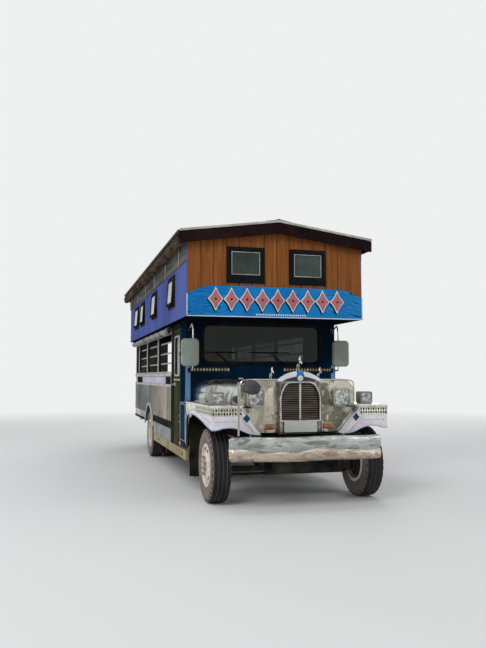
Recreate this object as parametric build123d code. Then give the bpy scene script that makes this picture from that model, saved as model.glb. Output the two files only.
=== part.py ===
from build123d import *
import math
import os

# A jeepney with a low passenger body and a sleeping loft above it. All sizes are millimetres.
# X runs across, with the driver on +X. Z is the height above the road. Each piece is drawn with
# Y counted back from the front axle, and write() shifts it so that the vehicle is centred on Y = 0.

# Reach of the whole vehicle, from the front axle
BUMPER_REACH = 680
ROOF_REACH = 7170
WHEELBASE = 4600
CENTRE_SHIFT = (BUMPER_REACH - ROOF_REACH) / 2

# Half widths: the body, the loft that overhangs it, and the roof that overhangs the loft
BODY_HALF = 1000
LOFT_OVERHANG = 115
LOFT_HALF = BODY_HALF + LOFT_OVERHANG
EAVES_OVERHANG = 105
EAVES_HALF = LOFT_HALF + EAVES_OVERHANG

# Fits
SEAT = 0.3          # a piece that rests on another
GAP = 6             # a moving piece beside a fixed one
PIN_PLAY = 0.7      # round a pin or a spindle

# Wheels
TYRE_RADIUS = 400
TYRE_WIDTH = 215
RIM_RADIUS = 215
RIM_LIP = 23
RIM_WALL = 12
FRONT_TRACK_HALF = BODY_HALF - 125
REAR_OUTER_HALF = BODY_HALF - 113
TWIN_PITCH = 245
REAR_INNER_HALF = REAR_OUTER_HALF - TWIN_PITCH
SPINDLE_RADIUS = 24
AXLE_TUBE_RADIUS = 45
DIFFERENTIAL_RADIUS = 145

# Steering
KINGPIN_HALF = FRONT_TRACK_HALF - 155
KINGPIN_RADIUS = 17
BOSS_RADIUS = 34
BOSS_LOW = 325
BOSS_HIGH = 435
EAR = 29
ARM_LENGTH = 180
ARM_PIN_RADIUS = 8
ARM_WIDTH = 40
OPEN_PIN_PLAY = 3

# Frame rails
RAIL_INNER = 330
RAIL_OUTER = 400
RAIL_LOW = 520
RAIL_TOP = 660
RAIL_BACK = 6800
SKID_LOW = 345
SKID_HALF = 450
SKID_Y = -500
EYE_REACH = 60
EYE_LOW = 420
EYE_CENTRE = 455
EYE_RADIUS = 14
# Cross members: front edge, width, low and high edge. Two pass under the rails, below the engine.
CROSS_MEMBERS = ((-200, 80, RAIL_LOW, RAIL_TOP), (50, 60, 480, RAIL_LOW), (720, 60, 480, RAIL_LOW),
                 (2250, 60, 600, RAIL_TOP), (3750, 60, 600, RAIL_TOP), (5350, 60, 600, RAIL_TOP),
                 (6700, 80, RAIL_LOW, RAIL_TOP))

# Engine and gearbox
ENGINE_HALF = 260
ENGINE_FRONT = -40
ENGINE_BACK = 850
ENGINE_HIGH = 1150
RADIATOR_HALF = 300
RADIATOR_FRONT = -200
RADIATOR_HIGH = 1230
GEARBOX_HALF = 120
GEARBOX_BACK = 1400
GEARBOX_LOW = 470
SHAFT_RADIUS = 34
SHAFT_FRONT_Z = 560
SHAFT_BACK_Z = 425

# Bumper
BUMPER_HALF = 850
BUMPER_LOW = 490
BUMPER_HIGH = 745
BUMPER_DEPTH = 95
BUMPER_BOW = 75

# Nose
NOSE_Y = -300
COWL_Y = 1061
NOSE_HALF = 667
COWL_HALF = BODY_HALF - 95
NOSE_FOOT_HALF = 450
NOSE_FOOT = 765
NOSE_KNEE = 1000
HOOD_TOP = 1340
SHOULDER = 150
SHEET = 20
NOSE_SEAM_Y = 380
NOSE_SEAM = 12
NOSE_SWELL = 22     # how far the side panels bulge at their middle
END_SWELL = 5       # and at their ends
FENDER_TOP = 1060
FENDER_HALF = BODY_HALF
FENDER_FRONT = -430
INNER_WING = 530
MARKER_X = 337
MARKER_Z = 830
MARKER_HALF = 52
MARKER_HALF_HIGH = 30
FENDER_FOOT_HALF = NOSE_FOOT_HALF + 15
# Lower edge of the fender's front face: share of the way from its foot out to the skirt, Z
FENDER_LIP = ((0, 752), (0.10, 752), (0.25, 766), (0.35, 791), (0.44, 816), (0.57, 832), (0.72, 834),
              (0.83, 820), (0.92, 803), (1, 808))
# Lower edge of the fender's skirt: Y, Z
SKIRT_EDGE = ((FENDER_FRONT, 808), (-221, 831), (21, 871), (246, 902), (449, 920), (625, 928), (772, 907),
              (840, 869), (905, 780), (930, 680), (930, 520), (COWL_Y, 520))

# Grille
SHELL_HALF = 250
SHELL_FRONT = -370
SHELL_LOW = 750
SHELL_SHOULDER = 1330
CROWN_TOP = 1430
GRILLE_HALF = 220
GRILLE_LOW = 900
GRILLE_HIGH = 1300
GRILLE_BEND = 1175      # where the opening starts to draw in
GRILLE_BEND_RADIUS = 120
GRILLE_TOP_HALF = 150
GRILLE_TOP_RADIUS = 50
BAR_COUNT = 20
BAR_HEIGHT = 11
BAR_DEPTH = 18

# Body
WALL = 35
BODY_BACK = 6800
FLOOR_TOP = 750
FLOOR_THICKNESS = 30
BODY_TOP = 2080
DOOR_FRONT = 1490
DOOR_BACK = 2010
DOOR_LOW = 470
DOOR_HIGH = 2000
SIDE_LOW = 580
WAIST_LOW = 1230
WAIST_HIGH = 1420
WINDOW_HIGH = 2000
ARCH_RADIUS = 480
ARCH_RING = 42          # flared ring round the arch: its width and how far it stands out
ARCH_FLARE = 20
WHEEL_BOX_HIGH = 930
WHEEL_BOX_GAP = 34.5
WHEEL_BOX_HALF = REAR_INNER_HALF - TYRE_WIDTH / 2 - WHEEL_BOX_GAP
DOORWAY_HALF = 350
SCREEN_HALF = 785
SCREEN_LOW = 1550
SCREEN_HIGH = 2030
SCREEN_CORNER = 80
FLAP_LOW = 150
SILL_LOW = 330
SILL_HIGH = 450
# Window posts: front and back
POSTS = ((DOOR_BACK, 2190), (3540, 3600), (4920, 4980), (6200, 6260), (6700, BODY_BACK))
BAR_HEIGHTS = (1570, 1720, 1880)
# Front edges of the floor's cross bearers. The first three also carry the sills.
BEARER = 60
BEARERS = (1900, 2700, WHEELBASE - 1150, WHEELBASE + 650, WHEELBASE + 1400)
SILL_BEARERS = BEARERS[:3]
TANK_FRONT = 2400
TANK_LENGTH = 850
TANK_HALF = BODY_HALF - 220
TANK_LOW = 400

# Ladder at the back
LADDER_STILE_GAP = 330
LADDER_RADIUS = 14
LADDER_STANDOFF = 70
LADDER_LOW = 660
LADDER_HIGH = 2560
LADDER_RUNGS = 8
LADDER_PITCH = 260

# Seats
BENCH_FRONT = BODY_HALF - 522
BENCH_TOP = 1040
BENCH_START = 2350
BENCH_END = 6650
CUSHION = 75
CAB_SEAT_FRONT = 1720
CAB_SEAT_BACK = 2150
CAB_SEAT_HALF = BODY_HALF - 100
CAB_BACK_HIGH = 1600
DASH_LOW = 1180
DASH_HIGH = 1400
DASH_DEPTH = 170
STEERING_CENTRE = (450, 1540, 1400)
COLUMN_LEAN = 50

# Loft
LOFT_FRONT = 455
LOFT_BACK = 6850
LOFT_BOARD = 25
LOFT_FLOOR = 30
EAVES_Z = 3090
RIDGE_Z = 3260
ROOF_FRONT = 350
ROOF_SHEET = 25
RIDGE_CAP_HALF = 160
RIDGE_CAP = 8
FASCIA = 24
FASCIA_DROP = 130
LOFT_DOOR_HALF = 350
LOFT_DOOR_HIGH = 2950
PANE_LOW = 2290
PANE_HIGH = 2670
# Windows in the loft's sides: front and back
LOFT_WINDOWS = ((1280, 1750), (2930, 3470), (4450, 4970), (5290, 5900))
# Windows in the loft's front: inner and outer edge, low and high edge
FRONT_WINDOW = (170, 620, 2560, 2920)
SIGN_DEPTH = 30
SIGN_END_TOP = 2400
SIGN_TOP = 2540
SIGN_FLAT_HALF = 850
ROLL_RADIUS = 55

# Hinges
BARREL_RADIUS = 9
HINGE_PIN_RADIUS = 5
BARREL_LENGTH = 60
LUG_LENGTH = 20
LEAF = 6
LEAF_REACH = 45
HINGE_STANDOFF = BARREL_RADIUS + 1


def block(x, y, z):
    """Box between a low and a high value on each axis."""
    centre = Pos((x[0] + x[1]) / 2, (y[0] + y[1]) / 2, (z[0] + z[1]) / 2)
    return centre * Box(x[1] - x[0], y[1] - y[0], z[1] - z[0])


def corner(axis, along, pair):
    """Point at a distance along one axis, from its other two coordinates."""
    spots = {"x": (along, pair[0], pair[1]), "y": (pair[0], along, pair[1]), "z": (pair[0], pair[1], along)}
    return spots[axis]


def flat(axis, along, outline):
    """Flat face square to an axis."""
    return Face(Wire.make_polygon([corner(axis, along, pair) for pair in outline], close=True))


def push(axis, face, length):
    """Face pushed along an axis."""
    return Solid.extrude(face, Vector(*corner(axis, length, (0, 0))))


def prism(axis, span, outline):
    """Outline square to an axis, pushed from the low to the high end of a span."""
    return push(axis, flat(axis, span[0], outline), span[1] - span[0])


def softened(axis, along, outline, radii):
    """Flat face with its corners rounded. radii holds one radius for each corner, or 0."""
    face = flat(axis, along, outline)
    for pair, radius in zip(outline, radii):
        if radius:
            spot = Vector(*corner(axis, along, pair))
            nearest = min(face.vertices(), key=lambda vertex: (Vector(*vertex) - spot).length)
            face = face.fillet_2d(radius, [nearest])
    return face


def rounded(axis, span, outline, radii):
    """Prism whose outline has its corners rounded."""
    return push(axis, softened(axis, span[0], outline, radii), span[1] - span[0])


def rod(start, end, radius):
    """Round bar between two points."""
    way = Vector(*end) - Vector(*start)
    return Solid.make_cylinder(radius, way.length, Plane(origin=start, z_dir=way))


def turned(profile, x, y, side):
    """Ring turned about an axle. Each profile row is (distance out from x, radius)."""
    face = flat("y", y, [(x + side * out, TYRE_RADIUS + radius) for out, radius in profile])
    return Solid.revolve(face, 360, Axis((0, y, TYRE_RADIUS), (1, 0, 0)))


def other_side(shape):
    """The same piece on the other side of the vehicle."""
    return mirror(shape, about=Plane.YZ)


def pair(shape):
    """A piece and its mirror image."""
    return [shape, other_side(shape)]


def write(name, *solids):
    """Write one node, shifted to the vehicle's centre."""
    moved = [Pos(0, CENTRE_SHIFT, 0) * solid for solid in solids]
    whole = moved[0] if len(moved) == 1 else Compound(children=moved)
    export_step(whole, os.path.join("parts", name + ".step"))


def nose_half(y):
    """Half width of the nose, which widens from the front panel to the cab."""
    share = (y - NOSE_Y) / (COWL_Y - NOSE_Y)
    return NOSE_HALF + share * (COWL_HALF - NOSE_HALF)


def roof_under(x):
    """Height of the roof sheet's underside."""
    return RIDGE_Z - ROOF_SHEET - (RIDGE_Z - EAVES_Z) * abs(x) / EAVES_HALF


def bumper_bow(x, middle):
    """Y of the bowed bumper, from its Y at the middle."""
    radius = (BUMPER_HALF ** 2 + BUMPER_BOW ** 2) / (2 * BUMPER_BOW)
    return middle + radius - math.sqrt(radius ** 2 - x ** 2)


# Hinges

def hinge(place):
    """Barrel and leaf of a moving piece, and lugs, leaf and pin of a fixed one.
    Along the local Z axis, with the moving leaf towards +X and the skins LEAF below the leaf's top."""
    half = BARREL_LENGTH / 2
    top = -BARREL_RADIUS + LEAF - 1
    base = -BARREL_RADIUS - 1
    bore = Solid.make_cylinder(HINGE_PIN_RADIUS + PIN_PLAY, BARREL_LENGTH, Plane((0, 0, -half)))
    barrel = Solid.make_cylinder(BARREL_RADIUS, BARREL_LENGTH, Plane((0, 0, -half)))
    moving = barrel + block((0, LEAF_REACH), (base, top), (-half, half)) - bore
    fixed = Solid.make_cylinder(HINGE_PIN_RADIUS, BARREL_LENGTH + 2 * LUG_LENGTH,
                                Plane((0, 0, -half - LUG_LENGTH)))
    for low, high in ((-half - LUG_LENGTH, -half - 3), (half + 3, half + LUG_LENGTH)):
        fixed += Solid.make_cylinder(BARREL_RADIUS, high - low, Plane((0, 0, low)))
        fixed += block((-LEAF_REACH, 0), (base, top), (low, high))
    return place * moving, place * fixed


def door_hinges():
    """Hinges of the left cab door, on the outer skin at its front edge."""
    places = []
    for z in (DOOR_LOW + 350, DOOR_HIGH - 330):
        plane = Plane((BODY_HALF + HINGE_STANDOFF, DOOR_FRONT + GAP / 2, z),
                      x_dir=(0, 1, 0), z_dir=(0, 0, -1))
        places.append(hinge(plane.location))
    return places


def hood_hinges():
    """Hinges of the hood, on its top skin in front of the cab wall."""
    places = []
    for x in (-300, 300):
        plane = Plane((x, COWL_Y - HINGE_STANDOFF, HOOD_TOP + HINGE_STANDOFF),
                      x_dir=(0, -1, 0), z_dir=(-1, 0, 0))
        places.append(hinge(plane.location))
    return places


def loft_door_hinges():
    """Hinges of the loft's rear door, on its outer skin at the right."""
    places = []
    for z in (BODY_TOP + 200, LOFT_DOOR_HIGH - 170):
        plane = Plane((-LOFT_DOOR_HALF + GAP / 2, LOFT_BACK + HINGE_STANDOFF, z),
                      x_dir=(1, 0, 0), z_dir=(0, 0, 1))
        places.append(hinge(plane.location))
    return places


# Running gear

def front_plate():
    """Low plate under the front of the rails, with the two towing eyes."""
    under = RAIL_LOW - SEAT
    plate = block((-SKID_HALF, SKID_HALF), (SKID_Y, SKID_Y + SHEET), (SKID_LOW, under))
    y = SKID_Y - EYE_REACH / 2
    for side in (-1, 1):
        middle = side * (RAIL_INNER + RAIL_OUTER) / 2
        eye = block((middle - 10, middle + 10), (SKID_Y - EYE_REACH, SKID_Y), (EYE_LOW, under))
        plate += eye - rod((middle - 20, y, EYE_CENTRE), (middle + 20, y, EYE_CENTRE), EYE_RADIUS)
    return plate


def frame():
    """Two rails, their cross members and the front plate, each a piece of its own as they are riveted."""
    rail_front = bumper_bow(RAIL_OUTER, -BUMPER_REACH + BUMPER_DEPTH) + SEAT
    solids = pair(block((RAIL_INNER, RAIL_OUTER), (rail_front, RAIL_BACK), (RAIL_LOW, RAIL_TOP)))
    for y, width, low, high in CROSS_MEMBERS:
        half = RAIL_OUTER if low < RAIL_LOW else RAIL_INNER - SEAT
        top = high - SEAT if low < RAIL_LOW else high
        solids.append(block((-half, half), (y, y + width), (low, top)))
    return solids + [front_plate()]


def front_axle():
    """Beam with a bored boss at each end for the kingpins."""
    whole = block((-KINGPIN_HALF, KINGPIN_HALF), (-32, 32), (BOSS_LOW, 380))
    for side in (-1, 1):
        x = side * KINGPIN_HALF
        whole += rod((x, 0, BOSS_LOW), (x, 0, BOSS_HIGH), BOSS_RADIUS)
    for side in (-1, 1):
        x = side * KINGPIN_HALF
        whole -= rod((x, 0, BOSS_LOW - 5), (x, 0, BOSS_HIGH + 5), KINGPIN_RADIUS + PIN_PLAY)
    return whole


def knuckle(side):
    """Fork round the axle's boss, with the kingpin, the spindle and the steering arm."""
    x = side * KINGPIN_HALF
    low = BOSS_LOW - GAP - EAR
    high = BOSS_HIGH + GAP + EAR
    plate_near = KINGPIN_HALF + BOSS_RADIUS + GAP
    plate_far = plate_near + 25
    whole = rod((x, 0, low), (x, 0, high), KINGPIN_RADIUS)
    for ear_low in (low, high - EAR):
        whole += rod((x, 0, ear_low), (x, 0, ear_low + EAR), BOSS_RADIUS)
        ends = sorted((x, side * plate_far))
        whole += block(ends, (-BOSS_RADIUS, BOSS_RADIUS), (ear_low, ear_low + EAR))
    whole += block(sorted((side * plate_near, side * plate_far)), (-40, 40), (low, high))
    whole += rod((side * plate_near, 0, TYRE_RADIUS), (side * (FRONT_TRACK_HALF + 55), 0, TYRE_RADIUS),
                 SPINDLE_RADIUS)
    arm_high = low + EAR - 5
    half = ARM_WIDTH / 2
    whole += block((x - half, x + half), (0, ARM_LENGTH), (low, arm_high))
    whole += rod((x, ARM_LENGTH, low), (x, ARM_LENGTH, arm_high), half)
    play = PIN_PLAY if side > 0 else OPEN_PIN_PLAY
    return whole - rod((x, ARM_LENGTH, low - 5), (x, ARM_LENGTH, arm_high + 5), ARM_PIN_RADIUS + play)


def tie_rod():
    """Rod between the two steering arms, with an eye and an upright pin at each end."""
    arm_low = BOSS_LOW - GAP - EAR
    z = arm_low - GAP - 17
    whole = rod((-KINGPIN_HALF, ARM_LENGTH, z), (KINGPIN_HALF, ARM_LENGTH, z), 14)
    for x in (-KINGPIN_HALF, KINGPIN_HALF):
        whole += rod((x, ARM_LENGTH, z - 17), (x, ARM_LENGTH, z + 17), 20)
        whole += rod((x, ARM_LENGTH, z), (x, ARM_LENGTH, arm_low + EAR - 5), ARM_PIN_RADIUS)
    return whole


def tyre(x, y, side):
    """Plain tyre with round shoulders and sidewalls that narrow to the rim."""
    half = TYRE_WIDTH / 2
    bead = half - 27
    # distance out, radius, corner radius
    rows = ((-bead, RIM_RADIUS + 1, 0), (-half, 305, 60), (-half, 345, 0), (-half + 16, TYRE_RADIUS, 30),
            (half - 16, TYRE_RADIUS, 30), (half, 345, 0), (half, 305, 60), (bead, RIM_RADIUS + 1, 0))
    outline = [(x + side * out, TYRE_RADIUS + radius) for out, radius, _ in rows]
    face = softened("y", y, outline, [bend for _, _, bend in rows])
    return Solid.revolve(face, 360, Axis((0, y, TYRE_RADIUS), (1, 0, 0)))


def front_rim(side):
    """Rim whose disc bulges outwards, with its hub and brake drum."""
    lip = RIM_RADIUS + RIM_LIP
    inside = RIM_RADIUS - RIM_WALL
    bore = SPINDLE_RADIUS + PIN_PLAY
    profile = ((-102, lip), (-90, lip), (-90, RIM_RADIUS), (90, RIM_RADIUS), (90, lip), (102, lip),
               (102, inside), (62, inside), (108, 125), (108, 65), (142, 60), (142, 0), (57, 0), (57, bore),
               (-83, bore), (-83, 160), (10, 160), (10, 62), (94, 62), (94, 120), (48, inside),
               (-102, inside))
    return turned(profile, side * FRONT_TRACK_HALF, 0, side)


def rear_rims(side):
    """Twin rims joined back to back at their discs, with hub and brake drum."""
    middle = (REAR_OUTER_HALF + REAR_INNER_HALF) / 2
    half = (REAR_OUTER_HALF - REAR_INNER_HALF) / 2
    lip = RIM_RADIUS + RIM_LIP
    inside = RIM_RADIUS - RIM_WALL
    bore = AXLE_TUBE_RADIUS + PIN_PLAY
    profile = ((half + 102, lip), (half + 102, inside), (75, inside), (14, 125), (14, 92), (80, 88),
               (100, 70), (100, 0), (70, 0), (70, bore), (-200, bore), (-200, 160), (-40, 160), (-40, 92), (-14, 92),
               (-14, 125), (-75, inside), (-half - 102, inside), (-half - 102, lip), (-half - 90, lip),
               (-half - 90, RIM_RADIUS), (-half + 90, RIM_RADIUS), (-half + 90, lip), (-half + 102, lip),
               (-half + 102, inside), (0, 150), (half - 102, inside), (half - 102, lip), (half - 90, lip),
               (half - 90, RIM_RADIUS), (half + 90, RIM_RADIUS), (half + 90, lip))
    return turned(profile, side * middle, WHEELBASE, side)


def rear_axle():
    """Axle tube with the round differential housing."""
    reach = (REAR_OUTER_HALF + REAR_INNER_HALF) / 2 + 66
    tube = TYRE_RADIUS + AXLE_TUBE_RADIUS
    bulge = 130
    points = [(-bulge, tube), (-reach, tube), (-reach, TYRE_RADIUS), (reach, TYRE_RADIUS), (reach, tube),
              (bulge, tube)]
    spots = [(x, WHEELBASE, z) for x, z in points]
    edges = [Edge.make_line(a, b) for a, b in zip(spots, spots[1:])]
    crest = (0, WHEELBASE, TYRE_RADIUS + DIFFERENTIAL_RADIUS)
    edges.append(Edge.make_three_point_arc(spots[-1], crest, spots[0]))
    return Solid.revolve(Face(Wire(edges)), 360, Axis((0, WHEELBASE, TYRE_RADIUS), (1, 0, 0)))


def leaf_spring(y, seat, reach):
    """Bowed stack of leaves from the axle seat up to the rail at both ends."""
    stack = 45
    x = (RAIL_INNER + 5, RAIL_OUTER - 5)
    tip = 16
    top = Edge.make_three_point_arc((x[0], y - reach, RAIL_LOW), (x[0], y, seat + stack),
                                    (x[0], y + reach, RAIL_LOW))
    low = Edge.make_three_point_arc((x[0], y + reach, RAIL_LOW - tip), (x[0], y, seat),
                                    (x[0], y - reach, RAIL_LOW - tip))
    ends = [Edge.make_line(top @ 1, low @ 0), Edge.make_line(low @ 1, top @ 0)]
    return push("x", Face(Wire([top, ends[0], low, ends[1]])), x[1] - x[0])


def leaf_springs():
    """Two springs for each axle."""
    front = leaf_spring(20, 380 + SEAT, 460)
    rear = leaf_spring(WHEELBASE, TYRE_RADIUS + AXLE_TUBE_RADIUS + SEAT, 640)
    return pair(front) + pair(rear)


def engine():
    """Plain engine block on its cross members, and the radiator behind the grille."""
    motor = block((-ENGINE_HALF, ENGINE_HALF), (ENGINE_FRONT, ENGINE_BACK), (RAIL_LOW, ENGINE_HIGH))
    radiator = block((-RADIATOR_HALF, RADIATOR_HALF), (RADIATOR_FRONT, RADIATOR_FRONT + 70),
                     (RAIL_TOP, RADIATOR_HIGH))
    return [motor, radiator]


def driveline():
    """Gearbox behind the engine and the propeller shaft back to the axle."""
    gearbox = block((-GEARBOX_HALF, GEARBOX_HALF), (ENGINE_BACK, GEARBOX_BACK), (GEARBOX_LOW, RAIL_TOP - 5))
    end = WHEELBASE - DIFFERENTIAL_RADIUS - SEAT
    return gearbox + rod((0, GEARBOX_BACK - 10, SHAFT_FRONT_Z), (0, end, SHAFT_BACK_Z), SHAFT_RADIUS)


def exhaust():
    """Pipe from the engine back to a silencer and out to the right, ahead of the rear wheels."""
    x = -200
    y = 420
    z = 420
    out = WHEELBASE - 980
    path = FilletPolyline((x, y, RAIL_LOW), (x, y, z), (x, out, z), (100 - BODY_HALF, out, z), radius=90)
    pipe = sweep(Plane((x, y, RAIL_LOW), z_dir=(0, 0, -1)) * Circle(26), path)
    return pipe + rod((x, 2450, z), (x, 3150, z), 82)


def fuel_tank():
    """Tank on the outside of the left rail."""
    tank = block((RAIL_OUTER, TANK_HALF), (TANK_FRONT, TANK_FRONT + TANK_LENGTH), (TANK_LOW, RAIL_TOP - 10))
    return fillet(tank.edges().filter_by(Axis.Y), 40)


# Nose

def front_bumper():
    """Deep bumper with a bowed plan and well rounded edges."""
    def bowed(middle):
        ends = (bumper_bow(BUMPER_HALF, middle), middle)
        return Edge.make_three_point_arc((-BUMPER_HALF, ends[0], BUMPER_LOW), (0, ends[1], BUMPER_LOW),
                                         (BUMPER_HALF, ends[0], BUMPER_LOW))
    front = bowed(-BUMPER_REACH)
    back = bowed(-BUMPER_REACH + BUMPER_DEPTH)
    ends = [Edge.make_line(front @ 1, back @ 1), Edge.make_line(back @ 0, front @ 0)]
    whole = push("z", Face(Wire([front, ends[0], back, ends[1]])), BUMPER_HIGH - BUMPER_LOW)
    return fillet(whole.edges().filter_by(Axis.Z, reverse=True), 40)


def nose_panel_outline():
    return ((-NOSE_FOOT_HALF, NOSE_FOOT), (NOSE_FOOT_HALF, NOSE_FOOT), (NOSE_HALF, NOSE_KNEE),
            (NOSE_HALF, HOOD_TOP), (-NOSE_HALF, HOOD_TOP), (-NOSE_HALF, NOSE_KNEE))


def grille_block(span, edge):
    """Block with the shape of the grille's opening, which draws in at the top, less an edge all round."""
    half = GRILLE_HALF - edge
    top_half = GRILLE_TOP_HALF - edge
    low = GRILLE_LOW + edge
    high = GRILLE_HIGH - edge
    outline = ((-half, low), (half, low), (half, GRILLE_BEND), (top_half, high), (-top_half, high),
               (-half, GRILLE_BEND))
    # the rounding of the bend and the top share the sloping edge between them
    room = math.hypot(half - top_half, high - GRILLE_BEND) / 2
    slope_turn = math.atan2(half - top_half, high - GRILLE_BEND)
    bend = min(GRILLE_BEND_RADIUS, room / math.tan(slope_turn / 2))
    top = min(GRILLE_TOP_RADIUS, room / math.tan(abs(math.pi / 2 - slope_turn) / 2))
    return rounded("y", span, outline, (0, 0, bend, top, top, bend))


def front_panel():
    """Flat panel across the nose, open behind the grille."""
    panel = rounded("y", (NOSE_Y, NOSE_Y + SHEET), nose_panel_outline(), (0, 0, 0, SHOULDER, SHOULDER, 0))
    return panel - grille_block((NOSE_Y - 5, NOSE_Y + SHEET + 5), 0)


def figure(size):
    """Small rearing horse in side view, head to the front. Rows are (Y, Z) as shares of its height."""
    outline = ((0.30, 0.0), (-0.30, 0.0), (-0.30, 0.06), (-0.02, 0.06), (-0.10, 0.35), (-0.34, 0.42),
               (-0.34, 0.52), (-0.16, 0.58), (-0.20, 0.74), (-0.40, 0.76), (-0.40, 0.86), (-0.16, 1.0),
               (0.02, 0.92), (0.16, 0.56), (0.32, 0.40), (0.16, 0.30), (0.12, 0.06), (0.30, 0.06))
    return [(y * size, z * size) for y, z in outline]


def grille_shell():
    """Raised surround of the grille, with an arched crown that carries a figure."""
    y = (SHELL_FRONT, NOSE_Y)
    low = Edge.make_line((-SHELL_HALF, y[0], SHELL_LOW), (SHELL_HALF, y[0], SHELL_LOW))
    right = Edge.make_line((SHELL_HALF, y[0], SHELL_LOW), (SHELL_HALF, y[0], SHELL_SHOULDER))
    arch = Edge.make_three_point_arc((SHELL_HALF, y[0], SHELL_SHOULDER), (0, y[0], CROWN_TOP),
                                     (-SHELL_HALF, y[0], SHELL_SHOULDER))
    left = Edge.make_line((-SHELL_HALF, y[0], SHELL_SHOULDER), (-SHELL_HALF, y[0], SHELL_LOW))
    shell = push("y", Face(Wire([low, right, arch, left])), y[1] - y[0])
    shell -= grille_block((y[0] - 5, y[1] + 5), 0)
    middle = (y[0] + y[1]) / 2
    outline = [(middle + dy, CROWN_TOP - 4 + dz) for dy, dz in figure(190)]
    return shell + prism("x", (-14, 14), outline)


def grille_bars():
    """Horizontal bars carried by one upright bar."""
    pitch = (GRILLE_HIGH - GRILLE_LOW) / BAR_COUNT
    back = SHELL_FRONT + 36
    front = back - BAR_DEPTH - 8
    whole = block((-11, 11), (front, back), (GRILLE_LOW, GRILLE_HIGH))
    for row in range(BAR_COUNT):
        z = GRILLE_LOW + (row + 0.5) * pitch
        whole += block((-GRILLE_HALF, GRILLE_HALF), (back - BAR_DEPTH, back),
                       (z - BAR_HEIGHT / 2, z + BAR_HEIGHT / 2))
    return whole & grille_block((front - 1, back + 1), SEAT)


def nose_section(y, swell):
    """Section of the nose side, bulged below its round shoulder."""
    half = nose_half(y)
    slant = math.sqrt(0.5)
    centre = (half - SHOULDER, HOOD_TOP - SHOULDER)

    def spot(radius, share):
        turn = {"side": (1, 0), "middle": (slant, slant), "top": (0, 1)}[share]
        return (centre[0] + radius * turn[0], y, centre[1] + radius * turn[1])
    inner = SHOULDER - SHEET
    outer_arc = Edge.make_three_point_arc(spot(SHOULDER, "side"), spot(SHOULDER, "middle"),
                                          spot(SHOULDER, "top"))
    inner_arc = Edge.make_three_point_arc(spot(inner, "top"), spot(inner, "middle"), spot(inner, "side"))
    foot = (half, y, FENDER_TOP)
    inner_foot = (half - SHEET, y, FENDER_TOP)
    waist = (FENDER_TOP + HOOD_TOP - SHOULDER) / 2
    outer_side = Edge.make_three_point_arc(foot, (half + swell, y, waist), outer_arc @ 0)
    inner_side = Edge.make_three_point_arc(inner_arc @ 1, (half - SHEET + swell, y, waist), inner_foot)
    return Wire([outer_side, outer_arc, Edge.make_line(outer_arc @ 1, inner_arc @ 0), inner_arc, inner_side,
                 Edge.make_line(inner_foot, foot)])


def nose_sides():
    """Two bulged panels on each side of the nose, with a seam between them."""
    solids = []
    for start, end in ((NOSE_Y + SHEET, NOSE_SEAM_Y), (NOSE_SEAM_Y + NOSE_SEAM, COWL_Y)):
        sections = [nose_section(start, END_SWELL), nose_section((start + end) / 2, NOSE_SWELL),
                    nose_section(end, END_SWELL)]
        solids += pair(Solid.make_loft(sections))
    return solids


def fender_lip():
    """Lower edge of the fender's front face as points."""
    width = FENDER_HALF - FENDER_FOOT_HALF
    return tuple((FENDER_FOOT_HALF + share * width, z) for share, z in FENDER_LIP)


def front_fender():
    """Left fender: flat top, front face, skirt with its arch, and the inner wing beside the engine."""
    top = (FENDER_TOP - SHEET, FENDER_TOP)
    panel_back = NOSE_Y + SHEET
    shelf = block((INNER_WING, FENDER_HALF), (panel_back, COWL_Y), top)
    shelf += block((NOSE_HALF, FENDER_HALF), (FENDER_FRONT, panel_back), top)
    wing = block((INNER_WING, INNER_WING + SHEET), (panel_back, COWL_Y), (RAIL_TOP, FENDER_TOP))
    face = prism("y", (FENDER_FRONT, FENDER_FRONT + SHEET),
                 ((NOSE_HALF, FENDER_TOP), (NOSE_HALF, NOSE_KNEE)) + fender_lip()
                 + ((FENDER_HALF, FENDER_TOP),))
    # strip from the face back to the nose panel, beside the panel's slanting edge
    strip = prism("y", (FENDER_FRONT, panel_back),
                  ((NOSE_HALF, FENDER_TOP), (NOSE_HALF, NOSE_KNEE), fender_lip()[0],
                   (FENDER_FOOT_HALF + 29, FENDER_LIP[0][1] + 2), (NOSE_HALF + SHEET, NOSE_KNEE - 8),
                   (NOSE_HALF + SHEET, FENDER_TOP)))
    skirt = prism("x", (FENDER_HALF - SHEET, FENDER_HALF),
                  ((FENDER_FRONT, FENDER_TOP),) + SKIRT_EDGE + ((COWL_Y, FENDER_TOP),))
    return shelf + wing + face + strip + skirt


def hood():
    """Flat hood between the shoulders, with its hinge barrels."""
    front = NOSE_Y + SHEET + GAP
    back = COWL_Y - 16
    outline = [(nose_half(front) - SHOULDER - GAP, front), (nose_half(back) - SHOULDER - GAP, back)]
    outline += [(-x, y) for x, y in reversed(outline)]
    whole = prism("z", (HOOD_TOP - SHEET, HOOD_TOP), outline)
    for barrel, _ in hood_hinges():
        whole += barrel
    return whole


def hood_figures():
    """Two small figures on the front of the hood."""
    outline = [(NOSE_Y + 90 + dy, HOOD_TOP + dz) for dy, dz in figure(150)]
    return pair(prism("x", (268, 292), outline))


def headlamps():
    """Two square headlamps on the panel and two box lamps on the fenders."""
    head = block((395, 605), (NOSE_Y - 45, NOSE_Y), (1040, 1245))
    head = fillet(head.edges().filter_by(Axis.Y), 25)
    box = block((FENDER_HALF - 195, FENDER_HALF - 45), (-165, -35), (FENDER_TOP, FENDER_TOP + 140))
    box = fillet(box.edges().filter_by(Axis.Y), 20)
    return pair(head) + pair(box)


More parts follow.
